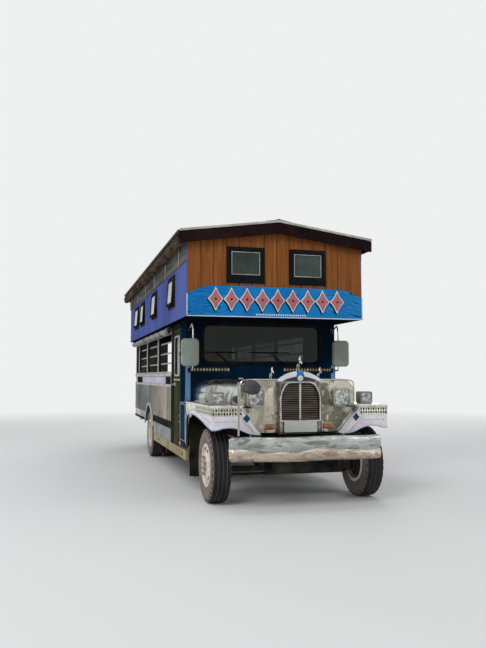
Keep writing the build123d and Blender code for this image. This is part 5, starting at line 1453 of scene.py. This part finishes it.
def loft_sides():
    """Violet ribbed sheets round the windows, with weathered planks over them."""
    bm = bmesh.new()
    ends = (0.462, 6.838)
    stops = [ends[0]] + [y for pane in SIDE_PANES for y in pane] + [ends[1]]
    rows = [(ends, 2.084, PANE_LOW), (ends, PANE_HIGH, 2.76)]
    for span, low, high in rows + [(span, PANE_LOW, PANE_HIGH) for span in zip(stops[::2], stops[1::2])]:
        ribbed(bm, beside(1.1165), span, low, high, 0.15, 0.007)
    box(bm, (1.098, 0.4515, 2.10), (1.122, 0.480, 3.05), 0.003)
    box(bm, (1.1155, 0.460, 2.080), (1.126, 6.840, 2.096), 0.003)
    both_sides(bm)
    piece("loft_ribbed_sheets", bm, "vehicle", "violet_paint", "violet_sheet")
    bm = bmesh.new()
    for row, (low, high) in enumerate(((2.738, 2.842), (2.834, 2.944), (2.936, 3.050))):
        y = 0.470
        while y < 6.80:
            end = min(6.838, y + 1.15 + 0.4 * noise.noise(Vector((row * 3.1, y * 1.7, 4.2))))
            out = 1.121 + 0.004 * row
            box(bm, (1.1155, y + 0.002, low), (out + 0.011, end - 0.002, high), 0.004, row % 2)
            screws(bm, "x", out + 0.011, [(y + 0.03, low + 0.04), (end - 0.03, low + 0.04)], (1, 0, 0), 0.005,
                   2)
            y = end
    for place in range(6):
        box(bm, (1.137, 0.86 + place * 1.12, 2.72), (1.142, 0.878 + place * 1.12, 3.02), 0.002, 3)
    both_sides(bm)
    piece("loft_planks", bm, "vehicle", "wood", "plank_grey", "weathered_grey", "nut_steel", "pale_edge")


def loft_windows():
    """Sashes that stand open a little from their tops in the sides, and thick black frames in front."""
    bm = bmesh.new()
    for start, end in SIDE_PANES:
        bar_frame(bm, "x", 1.092, oblong((start, end), (PANE_LOW, PANE_HIGH)), 0.022, 0.036, 0.004)
        bar_frame(bm, "x", 1.118, oblong((start - 0.022, end + 0.022), (PANE_LOW - 0.022, PANE_HIGH + 0.022)),
                  0.03, 0.012)
        sash = bmesh.new()
        inside = oblong((start + 0.018, end - 0.018), (PANE_LOW + 0.012, PANE_HIGH - 0.018))
        bar_frame(sash, "x", 1.124, inside, 0.034, 0.020, 0.004)
        box(sash, (1.132, start + 0.045, PANE_LOW + 0.040), (1.136, end - 0.045, PANE_HIGH - 0.046), 0, 1)
        for y in (start + 0.09, end - 0.09):
            rod(sash, (1.122, y - 0.03, PANE_HIGH - 0.014), (1.122, y + 0.03, PANE_HIGH - 0.014), 0.007, 2,
                10)
        bmesh.ops.rotate(sash, cent=at(1.124, 0, PANE_HIGH - 0.016),
                         matrix=Matrix.Rotation(SASH_TURN, 3, "Y"), verts=sash.verts[:])
        pour(bm, sash, None)
        # Dark pane behind each sash: painted shade of the loft's inside, which also hides the background seen
        # through the far side.
        box(bm, (1.080, start - 0.004, PANE_LOW - 0.004), (1.083, end + 0.004, PANE_HIGH + 0.004), 0, 3)
        middle = (start + end) / 2
        bent_rod(bm, [(1.10, middle, 2.34), (1.125, middle, 2.325), (1.146, middle, 2.33)], 0.004, 2)
    both_sides(bm)
    piece("loft_sashes", bm, "vehicle", "white_paint", "dark_post_and_shadow", "bright_glass", "nut_steel",
          "window_black", stands_for=("loft_windows",))
    bm = bmesh.new()
    bar_frame(bm, "y", 0.426, oblong((0.160, 0.632), (2.490, 2.930)), 0.056, 0.048, 0.005)
    box(bm, (0.212, 0.434, 2.540), (0.580, 0.470, 2.590), 0.004)
    bar_frame(bm, "y", 0.4325, oblong((0.218, 0.574), (2.592, 2.872)), 0.008, 0.012, 0.001, mat=1)
    box(bm, (0.205, 0.4465, 2.575), (0.585, 0.4495, 2.885), 0, 2)
    both_sides(bm)
    piece("loft_front_panes", bm, "vehicle", "glass", "window_black", "pale_edge", "loft_glass",
          stands_for=("loft_windows",))


SIGN_ROW_Z = 2.290


def sign_ornaments():
    """Blue panel with bent-down ends, and on it a row of raised lozenges, a row of beads and borders."""
    bm = bmesh.new()
    half_top = [(1.120, 2.350), (1.035, 2.384), (0.950, 2.418), (0.870, 2.442), (0.790, 2.451)]
    outline = [(-1.120, 2.080), (1.120, 2.080), *half_top, *[(-x, z) for x, z in reversed(half_top)]]
    plate(bm, "y", 0.455, outline, -0.030, 0.0, 0.002)
    piece("sign_panel", bm, "vehicle", "blue_paint", "sign_blue", stands_for=("sign_board",))
    bm = bmesh.new()
    star = ((0, 1), (0.46, 0.40), (1, 0), (0.46, -0.40), (0, -1), (-0.46, -0.40), (-1, 0), (-0.46, 0.40))
    for place in range(9):
        x = 0.193 * (place - 4)
        layers = ((0.098, 0.150, -0.010, -0.014, 0.4245, -0.003, 0), (0.096, 0.145, 0, 0, 0.4240, -0.013, 1),
                  (0.080, 0.120, 0, 0, 0.4110, -0.004, 2))
        for wide, high, dx, dz, y, depth, mat in layers:
            outline = [(x + dx + u * wide, SIGN_ROW_Z + dz + v * high) for u, v in star]
            plate(bm, "y", y, outline, depth, 0.008, 0.0015 if mat else 0.0, mat, 3)
        turned(bm, [(-0.001, 0.013), (0.003, 0.012), (0.005, 0.0)], (x, 0.407, SIGN_ROW_Z), (0, -1, 0), 16)
    for place in range(23):
        turned(bm, [(0.0, 0.011), (0.002, 0.010), (0.004, 0.0)], (-0.264 + 0.028 * place, 0.4248, 2.114),
               (0, -1, 0), 8, 1)
    for x in (-1.120, 1.108):
        box(bm, (x, 0.4215, 2.082), (x + 0.012, 0.4255, 2.346), 0.0008, 1)
    box(bm, (-1.120, 0.4215, 2.080), (1.120, 0.4255, 2.090), 0.0008, 1)
    piece("sign_lozenges", bm, "vehicle", "violet_paint", "sign_shadow", "sign_white", "sign_pink")


# Body sides

WINDOW_ROW = (1.422, 1.998)
WAIST_LOW = 1.226
WAIST_TOP = 1.418
WAIST_STRIP = (1.264, 1.372)
SHEET_FOOT = 0.745
SIDE_START = 2.198          # where the cabin's open side starts
SIDE_END = 6.798
ARCH_R = 0.52


def over_arch(y):
    """Lower edge of the ribbed sheet, which rises over the rear wheel."""
    gap = abs(y - REAR_Y)
    return max(SHEET_FOOT, TYRE_R + math.sqrt(ARCH_R ** 2 - gap ** 2)) if gap < ARCH_R else SHEET_FOOT


def body_sides():
    """Ribbed lower sheets, the recess under them, the dark post, the waist band and the arch flare."""
    bm = bmesh.new()
    for mat, span in enumerate(((SIDE_START, 4.065), (4.065, 6.795))):
        ribbed(bm, beside(1.0035), span, over_arch, WAIST_LOW, 0.098, 0.007, mat)
    both_sides(bm)
    piece("side_ribbed_sheets", bm, "vehicle", "stainless", "ribbed_steel", "rear_sheet")
    bm = bmesh.new()
    plate(bm, "x", 1.0005, oblong((2.20, 4.03), (0.455, 0.702)), 0.002, 0.0, 0.0008)
    # Dark strip under the ribbed sheets' foot: a painted shadow.
    box(bm, (1.0005, SIDE_START, 0.640), (1.012, 4.10, SHEET_FOOT), 0.003, 1)
    box(bm, (1.0005, 5.10, 0.590), (1.010, 6.795, 0.625), 0.003, 1)
    box(bm, (1.0005, 2.012, 0.458), (1.010, 2.196, 1.420), 0.003, 1)
    box(bm, (1.0005, 2.012, 1.424), (1.008, 2.190, WINDOW_ROW[1]), 0.003, 1)
    box(bm, (SIDE_X, 1.492, 2.001), (1.008, SIDE_END, 2.078), 0.002, 1)
    for y in (2.50, 3.10, 3.70):
        box(bm, (1.0020, y, 0.470), (1.0060, y + 0.02, 0.645), 0.001)
    both_sides(bm)
    piece("side_skirts", bm, "vehicle", "blue_paint", "recess_blue", "dark_post_and_shadow")
    bm = bmesh.new()
    box(bm, (SIDE_X, SIDE_START, 1.380), (1.016, SIDE_END, WAIST_TOP), 0.006, 0, 3)
    box(bm, (SIDE_X, SIDE_START, WAIST_LOW), (1.016, SIDE_END, 1.256), 0.006, 0, 3)
    plate(bm, "x", SIDE_X, oblong((2.775, 5.625), WAIST_STRIP), 0.003, 0.008, 0.0008, 1)
    screws(bm, "x", 1.0033, [(2.80 + 0.40 * step, z) for step in range(8) for z in (1.275, 1.361)], (1, 0, 0))
    for span in ((2.29, 2.765), (5.635, 6.49)):
        plate(bm, "x", SIDE_X, oblong(span, WAIST_STRIP), 0.003, 0.004, 0.0008, 2)
    for span in ((2.192, 3.538), (3.602, 4.918), (4.982, 6.198), (6.262, 6.698)):
        bar_frame(bm, "x", 0.9985, oblong(span, WINDOW_ROW), 0.022, 0.008, 0.002, mat=3)
    both_sides(bm)
    piece("waist_bands", bm, "vehicle", "white_paint", "waist_white", "violet_plate", "dark_post_and_shadow",
          "pale_frame")
    bm = bmesh.new()
    own = bmesh.new()
    section = ((1.0008, 0.528), (1.010, 0.5265), (1.0235, 0.518), (1.0285, 0.505), (1.0275, 0.490),
               (1.0205, 0.4812), (1.0030, 0.4808))
    start = 0.30
    verts = [own.verts.new(at(x, REAR_Y + radius * math.cos(start), TYRE_R + radius * math.sin(start)))
             for x, radius in section]
    edges = [own.edges.new(pair) for pair in zip(verts, verts[1:])]
    bmesh.ops.spin(own, geom=verts + edges, cent=at(0, REAR_Y, TYRE_R), axis=(1, 0, 0),
                   angle=math.pi - 2 * start, steps=40)
    outward(own)
    thicken(own, 0.001)
    pour(bm, own)
    both_sides(bm)
    piece("arch_flares", bm, "vehicle", "cream_paint", "waist_white")
    bm = bmesh.new()
    for y, z in ((4.02, 0.405), (3.41, 0.400), (1.30, 0.395)):
        rod(bm, (1.0, y, z), (1.006, y, z), 0.026, 1, 18)
        turned(bm, [(0.005, 0.023), (0.016, 0.021), (0.021, 0.012), (0.022, 0.0)], (1.0, y, z), (1, 0, 0), 18)
    both_sides(bm)
    piece("sill_lamps", bm, "vehicle", "amber_lens", "red_lens", "chrome_plate")


def cab_quarters():
    """Painted skins of the cab's corners, over and under the sloping bead."""
    bm = bmesh.new()
    plate(bm, "x", FENDER_X, oblong((1.062, 1.4885), (1.045, 2.078)), 0.0014, mat=0)
    plate(bm, "x", FENDER_X, oblong((1.062, 1.4885), (0.474, 1.040)), 0.0014, mat=1)
    both_sides(bm)
    piece("cab_quarter_skins", bm, "vehicle", "navy_paint", "navy", "teal_navy")


def door_trim():
    """Glass, beads, pressings, handle and brown foot of each cab door."""
    for side, name in ((1, "left"), (-1, "right")):
        bm = bmesh.new()
        window = oblong((1.570, 1.930), (1.40, 1.90))
        plate(bm, "x", 0.982, window, 0.004, 0.05, mat=1)
        bar_frame(bm, "x", SIDE_X, oblong((1.545, 1.955), (1.375, 1.925)), 0.026, 0.007, 0.002, 0.06)
        box(bm, (SIDE_X, 1.515, 1.318), (1.010, 1.985, 1.340), 0.004)
        plate(bm, "x", SIDE_X, oblong((1.560, 1.940), (0.66, 1.22)), 0.005, 0.03, 0.003, 2)
        bar_frame(bm, "x", 1.0004, oblong((1.585, 1.915), (0.69, 1.19)), 0.012, 0.009, 0.003, 0.02, 2)
        plate(bm, "x", SIDE_X, oblong((1.502, 1.998), (0.476, 0.60)), 0.003, 0.004, 0.001, 3)
        plate(bm, "x", SIDE_X, oblong((1.885, 1.975), (1.245, 1.290)), 0.004, 0.012, 0.001)
        bent_rod(bm, [(1.002, 1.960, 1.267), (1.030, 1.960, 1.267), (1.034, 1.945, 1.267),
                      (1.034, 1.86, 1.262)], 0.007)
        if side < 0:
            other_side(bm, bm.verts[:], bm.faces[:])
        piece("door_trim_" + name, bm, "door_" + name, "chrome", "pale_edge", "window_glass", "door_olive_reflection",
              "door_brown")


# Soft pieces

ROLL_X = 1.0553
ROLL_Z = 2.0247
ROLL_TURNS = 4.6
ROLL_CORE = 0.012
ROLL_OUT = 0.050


def curtain_roll(name, side, start, end):
    """Rain curtain rolled up: a spiral of canvas, drawn in by its straps and sagging between them."""
    length = end - start
    ties = round(length / 0.65) + 1
    gap = (length - 0.24) / (ties - 1)

    def rolled(share, along):
        along *= length
        turn = share * ROLL_TURNS * math.tau
        near = min(abs(along - 0.12 - gap * tie) for tie in range(ties))
        squeeze = 1 - 0.12 * math.exp(-(near / 0.03) ** 2)
        lump = 0.0022 * noise.noise(Vector((along * 5, math.cos(turn) * 2 + side, math.sin(turn) * 2)))
        radius = (ROLL_CORE + (ROLL_OUT - ROLL_CORE) * share) * squeeze + lump * share
        sag = 0.012 * (1 - math.exp(-(near / 0.16) ** 2))
        return at(side * (ROLL_X + radius * math.cos(turn)), start + along,
                  ROLL_Z - sag + radius * math.sin(turn))

    bm = sheet(96, 46, rolled)
    outward(bm)
    thicken(bm, 0.0012)
    roll = piece(name, bm, "vehicle", "canvas", "coated_canvas", stands_for=("tarp_rolls",), crease=60)
    bm = bmesh.new()
    for tie in range(ties):
        y = start + 0.12 + gap * tie
        turned(bm, [(-0.014, 0.0465), (-0.014, 0.0485), (0.014, 0.0485), (0.014, 0.0465), (-0.014, 0.0465)],
               (side * ROLL_X, y, ROLL_Z), (0, 1, 0), 28)
        box(bm, (side * ROLL_X - 0.002, y - 0.012, ROLL_Z + 0.046), (side * ROLL_X + 0.002, y + 0.012, 2.079),
            0.0006)
    straps = piece(name + "_straps", bm, "vehicle", "canvas", "strap_grey")


def pad(name, low, high, run, up, crown, pitch):
    """Sewn pad: crowned between its seams, drawn in along them, with a bead round its edge."""
    bm = bmesh.new()
    box(bm, low, high, 0.020, 0, 3)
    first, last = at(*low), at(*high)
    longways, upward = "xyz".index(run), "xyz".index(up[1])
    crossways = 3 - longways - upward
    way = 1 if up[0] == "+" else -1
    ends, edges = [(first[place], last[place]) for place in (longways, crossways)]
    count = round((ends[1] - ends[0]) / pitch)
    step = (ends[1] - ends[0]) / count
    axis = Matrix.Identity(3)
    for place in range(1, count * 8):
        slice_at(bm, axis[longways] * (ends[0] + place * step / 8), axis[longways])
    for share in (0.15, 0.32, 0.5, 0.68, 0.85):
        slice_at(bm, axis[crossways] * between(edges, share), axis[crossways])
    for vert in bm.verts:
        along = (vert.co[longways] - ends[0]) / step
        seam = min(along % 1, 1 - along % 1) * step
        puff = 1 - math.exp(-(seam / 0.030) ** 2)
        across = 2 * (vert.co[crossways] - edges[0]) / (edges[1] - edges[0]) - 1
        height = (vert.co[upward] - first[upward]) / (last[upward] - first[upward])
        height = height if way > 0 else 1 - height
        crease = 0.003 * noise.noise(vert.co * 9)
        vert.co[upward] += way * height * (crown * (puff * (1 - across ** 4) - 0.6) + crease)
        vert.co[crossways] -= across * 0.007 * (1 - puff) * height
    top = last[upward] if way > 0 else first[upward]
    level = top - way * (crown * 0.6 + 0.012)
    ring = [(ends[0] + 0.006, edges[0] + 0.02), (ends[0] + 0.006, edges[1] - 0.02),
            (ends[0] + 0.02, edges[1] - 0.004), (ends[1] - 0.02, edges[1] - 0.004),
            (ends[1] - 0.006, edges[1] - 0.02), (ends[1] - 0.006, edges[0] + 0.02),
            (ends[1] - 0.02, edges[0] + 0.004), (ends[0] + 0.02, edges[0] + 0.004),
            (ends[0] + 0.006, edges[0] + 0.02)]
    points = []
    for one, two in ring:
        point = axis[longways] * one + axis[crossways] * two + axis[upward] * level
        points.append((point.x, point.y - AXLE_Y, point.z))
    bent_rod(bm, points, 0.005, 1, 2, False)
    cushion = piece(name, bm, "vehicle", "red_vinyl", "vinyl_red", "vinyl_bead",
                    stands_for=("seat_cushions",), crease=60)


def soft_pieces():
    for side, name in ((-1, "right"), (1, "left")):
        curtain_roll("curtain_front_" + name, side, 2.10, 4.70)
        curtain_roll("curtain_rear_" + name, side, 4.80, 6.70)
        seat = sorted((side * 0.483, side * 0.910))
        back = sorted((side * 0.916, side * 0.9645))
        pad("bench_pad_" + name, (seat[0], 2.36, 1.041), (seat[1], 6.64, 1.115), "y", "+z", 0.022, 0.31)
        pad("bench_back_" + name, (back[0], 2.36, 1.121), (back[1], 6.64, 1.400), "y",
            "-x" if side > 0 else "+x", 0.016, 0.31)
    pad("cab_pad", (-0.89, 1.725, 1.041), (0.89, 2.055, 1.140), "x", "+z", 0.026, 0.22)
    pad("cab_back", (-0.89, 2.062, 1.146), (0.89, 2.1495, 1.588), "x", "-y", 0.020, 0.22)


def rubber_flaps():
    """Mudflaps: rubber sheets bent a little by age, clamped under a steel strip."""
    bm = bmesh.new()
    for x0, x1, y, z0, z1 in ((0.742, 0.978, 0.924, 0.152, 1.036), (0.545, 0.963, 5.104, 0.152, 0.716)):
        def aged(u, v):
            bend = 0.010 * (1 - v) ** 2 * math.sin(u * 5 + x0) + 0.006 * noise.noise(Vector((u * 2, v * 3,
                                                                                             y)))
            return at(between((x0, x1), u), y + bend, between((z0, z1),
                                                              v) + 0.004 * math.sin(u * 9) * (1 - v))

        own = sheet(10, 26, aged)
        outward(own)
        thicken(own, 0.006)
        pour(bm, own)
        box(bm, (x0 + 0.01, y - 0.007, z1 - 0.045), (x1 - 0.01, y + 0.012, z1 - 0.010), 0.002, 1)
        for share in (0.15, 0.5, 0.85):
            x = between((x0, x1), share)
            rod(bm, (x, y + 0.012, z1 - 0.027), (x, y + 0.020, z1 - 0.027), 0.008, 1, 6)
    both_sides(bm)
    piece("mudflap_sheets", bm, "vehicle", "black_rubber", "rubber", "nut_steel", stands_for=("mudflaps",))


# Mirrors and cab fittings

def mirrors():
    """Tall door mirrors on hooked arms, and a round guide mirror on a pole."""
    bm = bmesh.new()
    outline = oblong((0.885, 1.105), (1.500, 1.840))
    plate(bm, "y", 0.866, outline, -0.056, 0.050, 0.022, 0, 6)
    bar_frame(bm, "y", 0.866, outline, 0.012, 0.006, 0.002, 0.050, 1)
    plate(bm, "y", 0.8665, oblong((0.893, 1.097), (1.508, 1.832)), 0.002, 0.044, 0, 2)
    bent_rod(bm, [(0.96, 1.061, 1.975), (0.96, 0.98, 1.985), (0.96, 0.90, 2.03), (0.955, 0.855, 2.02),
                  (0.96, 0.838, 1.95), (0.96, 0.838, 1.83)], 0.0095, 3)
    bent_rod(bm, [(0.96, 1.061, 1.450), (0.96, 0.90, 1.450), (0.96, 0.845, 1.445), (0.96, 0.838, 1.51)],
             0.0095, 3)
    for z in (1.975, 1.450):
        box(bm, (0.935, 1.052, z - 0.03), (0.985, 1.0608, z + 0.03), 0.003, 1)
        screws(bm, "y", 1.052, [(0.947, z + 0.018), (0.973, z - 0.018)], (0, -1, 0), 0.005, 3)
    both_sides(bm)
    y = BUMPER_Y + bow(0.75) + 0.0475
    rod(bm, (-0.75, y, 0.742), (-0.75, y, 1.305), 0.010, 4, 14)
    rod(bm, (-0.75, y, 0.742), (-0.75, y, 0.760), 0.024, 1, 14, 0.014)
    turned(bm, [(0.0, 0.0105), (0.006, 0.0095), (0.010, 0.0)], (-0.75, y, 1.305), (0, 0, 1), 14, 4)
    bent_rod(bm, [(-0.75, y, 1.285), (-0.70, y, 1.292), (-0.655, y, 1.285), (-0.625, y - 0.004, 1.268)],
             0.008, 4)
    shell = bmesh.new()
    turned(shell, [(-0.012, 0.0), (-0.012, 0.088), (-0.008, 0.094), (0.004, 0.094), (0.016, 0.082),
                   (0.030, 0.054), (0.038, 0.024), (0.040, 0.0)], (0, 0, 0), (0, 0, 1), 36, 5)
    turned(shell, [(-0.016, 0.0), (-0.0145, 0.060), (-0.0125, 0.087)], (0, 0, 0), (0, 0, 1), 36, 2)
    lean = Matrix.Translation(at(-0.612, y - 0.012, 1.262)) @ Matrix.Rotation(math.radians(52), 4, "X")
    bmesh.ops.transform(shell, matrix=lean @ Matrix.Translation(-at(0, 0, 0)), verts=shell.verts[:])
    pour(bm, shell, None)
    piece("mirror_set", bm, "vehicle", "chrome", "mirror_shell", "black_plastic", "mirror_glass",
          "chrome_plate", "pale_edge", "guide_grey", stands_for=("mirrors",))


def cab_fittings():
    """Dials, switches and shelf on the dashboard, gear lever, pedals and the inner mirror."""
    bm = bmesh.new()
    box(bm, (0.22, 1.252, 1.285), (0.70, 1.272, 1.395), 0.006)
    for x, radius in ((0.30, 0.034), (0.41, 0.046), (0.52, 0.046), (0.62, 0.034)):
        turned(bm, [(0.0, radius), (0.008, radius), (0.010, radius - 0.006), (0.006, radius - 0.008)],
               (x, 1.271, 1.342), (0, 1, 0), 24, 1)
        turned(bm, [(0.004, radius - 0.006), (0.005, 0.0)], (x, 1.271, 1.342), (0, 1, 0), 24, 2)
        box(bm, (x - 0.0015, 1.2765, 1.342), (x + 0.0015, 1.278, 1.342 + radius * 0.7), 0, 3)
    for place in range(6):
        box(bm, (-0.06 + place * 0.04, 1.262, 1.350), (-0.042 + place * 0.04, 1.280, 1.372), 0.003)
    box(bm, (-0.62, 1.262, 1.230), (-0.22, 1.272, 1.330), 0.008)
    bent_rod(bm, [(0.08, 1.36, 0.752), (0.08, 1.38, 0.90), (0.10, 1.47, 1.02), (0.11, 1.50, 1.16)], 0.010, 1)
    turned(bm, [(-0.02, 0.0), (-0.018, 0.014), (0.0, 0.024), (0.016, 0.018), (0.022, 0.0)],
           (0.11, 1.50, 1.175), (0, 0, 1), 16)
    turned(bm, [(0.0, 0.075), (0.02, 0.060), (0.05, 0.03), (0.09, 0.014)], (0.08, 1.36, 0.751), (0, 0, 1), 20)
    for x in (0.34, 0.45, 0.56):
        bent_rod(bm, [(x, 1.10, 0.98), (x, 1.16, 0.93), (x, 1.20, 0.86)], 0.008, 1)
        box(bm, (x - 0.03, 1.195, 0.825), (x + 0.03, 1.207, 0.885), 0.004)
    rod(bm, (0, 1.130, 2.078), (0, 1.150, 1.95), 0.008)
    box(bm, (-0.13, 1.140, 1.895), (0.13, 1.160, 1.960), 0.008, 0, 3)
    box(bm, (-0.12, 1.160, 1.902), (0.12, 1.162, 1.953), 0.0, 4)
    piece("cab_fittings", bm, "vehicle", "black_plastic", "black_plastic", "chrome_plate", "plate_white",
          "red_lens", "mirror_glass")


def fender_liner():
    """Dark undersealed plates inside the front fenders."""
    bm = bmesh.new()
    box(bm, (0.5505, -0.278, 0.665), (0.552, 1.055, 1.0385))
    box(bm, (0.552, -0.408, 1.0375), (0.9785, 1.055, 1.0393))
    face = [(0.690, 1.037), (0.690, 0.996), (0.500, 0.756), (0.60, 0.770), (0.66, 0.797), (0.72, 0.824),
            (0.80, 0.838), (0.88, 0.832), (0.95, 0.808), (0.978, 0.808), (0.978, 1.037)]
    plate(bm, "y", -0.4093, face, 0.0013, mat=0)
    skirt = [(-0.408, 1.037), (-0.408, 0.812), (-0.22, 0.835), (0.02, 0.875), (0.246, 0.906), (0.449, 0.924),
             (0.625, 0.932), (0.772, 0.911), (0.842, 0.873), (0.908, 0.783), (0.934, 0.682), (0.934, 0.524),
             (1.055, 0.524), (1.055, 1.037)]
    plate(bm, "x", 0.9793, skirt, -0.0013, mat=0)
    box(bm, (0.552, 1.0535, 0.665), (0.9785, 1.0603, 1.037))
    both_sides(bm)
    piece("fender_liners", bm, "vehicle", "black_steel", "rubber")


# Rear end

def behind(y):
    return lambda run, out, z: at(run, y + out, z)


def rear_end():
    """Ribbed wall sheets, tail lamps, bare plate, step treads, grab rails and the loft door's handle."""
    bm = bmesh.new()
    ribbed(bm, behind(6.8025), (0.352, 0.963), 0.665, 1.225, 0.098, 0.006)
    ribbed(bm, behind(6.8025), (0.352, 0.963), 1.262, 2.060, 0.098, 0.006)
    box(bm, (0.350, 6.8003, 1.228), (0.966, 6.812, 1.260), 0.004, 1)
    bar_frame(bm, "y", 6.8003, oblong((0.350, 0.966), (0.660, 2.078)), 0.020, 0.012, mat=1)
    bent_rod(bm, [(0.378, 6.805, 1.68), (0.378, 6.86, 1.68), (0.378, 6.872, 1.62), (0.378, 6.872, 1.10),
                  (0.378, 6.86, 1.04), (0.378, 6.805, 1.04)], 0.012, 2)
    both_sides(bm)
    for place in range(7):
        box(bm, (-0.32, 6.868 + place * 0.023, 0.6145), (0.32, 6.876 + place * 0.023, 0.6185), 0.001, 2)
    piece("rear_wall_sheets", bm, "vehicle", "stainless", "ribbed_steel", "waist_white", "nut_steel")
    bm = bmesh.new()
    for z in (0.76, 0.90):
        turned(bm, [(0.0, 0.052), (0.010, 0.052), (0.014, 0.046), (0.006, 0.044)], (0.90, 6.812, z),
               (0, 1, 0), 28, 1)
        turned(bm, [(0.006, 0.045), (0.016, 0.043), (0.026, 0.030), (0.030, 0.0)], (0.90, 6.812, z),
               (0, 1, 0), 28, 0 if z < 0.8 else 2)
    both_sides(bm)
    piece("tail_lamps", bm, "vehicle", "amber_lens", "red_lens", "chrome_plate", "amber_lens",
          stands_for=("marker_lamps",))
    bm = bmesh.new()
    plate(bm, "y", 6.8603, oblong((0.44, 0.80), (0.506, 0.616)), 0.002, 0.010, 0.0006)
    plate(bm, "y", 6.8623, oblong((0.448, 0.792), (0.513, 0.609)), 0.0006, 0.008, 0, 1)
    screws(bm, "y", 6.8629, [(0.50, 0.60), (0.74, 0.60)], (0, 1, 0), 0.006, 2)
    piece("rear_plate_blank", bm, "vehicle", "white_paint", "sign_shadow", "plate_white", "nut_steel")
    bm = bmesh.new()
    plate(bm, "y", 6.8625, oblong((0.265, 0.305), (2.44, 2.58)), 0.003, 0.01, 0.001)
    bent_rod(bm, [(0.285, 6.864, 2.47), (0.285, 6.90, 2.475), (0.285, 6.90, 2.545), (0.285, 6.864, 2.55)],
             0.007)
    box(bm, (-0.30, 6.8625, 2.30), (0.30, 6.872, 2.335), 0.003, 1)
    box(bm, (-0.30, 6.8625, 2.72), (0.30, 6.872, 2.755), 0.003, 1)
    piece("loft_door_fittings", bm, "loft_door", "chrome", "chrome_plate", "pale_frame")


set_camera()
set_lamps()
set_world()
set_floor()
make_finishes()
dress_nodes()
for wheel_side, wheel_name in ((-1, "right"), (1, "left")):
    front_wheel(wheel_side, wheel_name)
    rear_wheel(wheel_side, wheel_name)
for build in (front_bumper, lamps, grille_surround, hood_horses, grille_bars, nose_trim, fender_trim,
              cab_front_trim, roof_sheets, fascia_boards, gable_boards, loft_sides, loft_windows,
              sign_ornaments, body_sides, cab_quarters, door_trim, soft_pieces, rubber_flaps, mirrors,
              cab_fittings, fender_liner, rear_end):
    build()

# End

bpy.context.scene.view_settings.view_transform = "Standard"
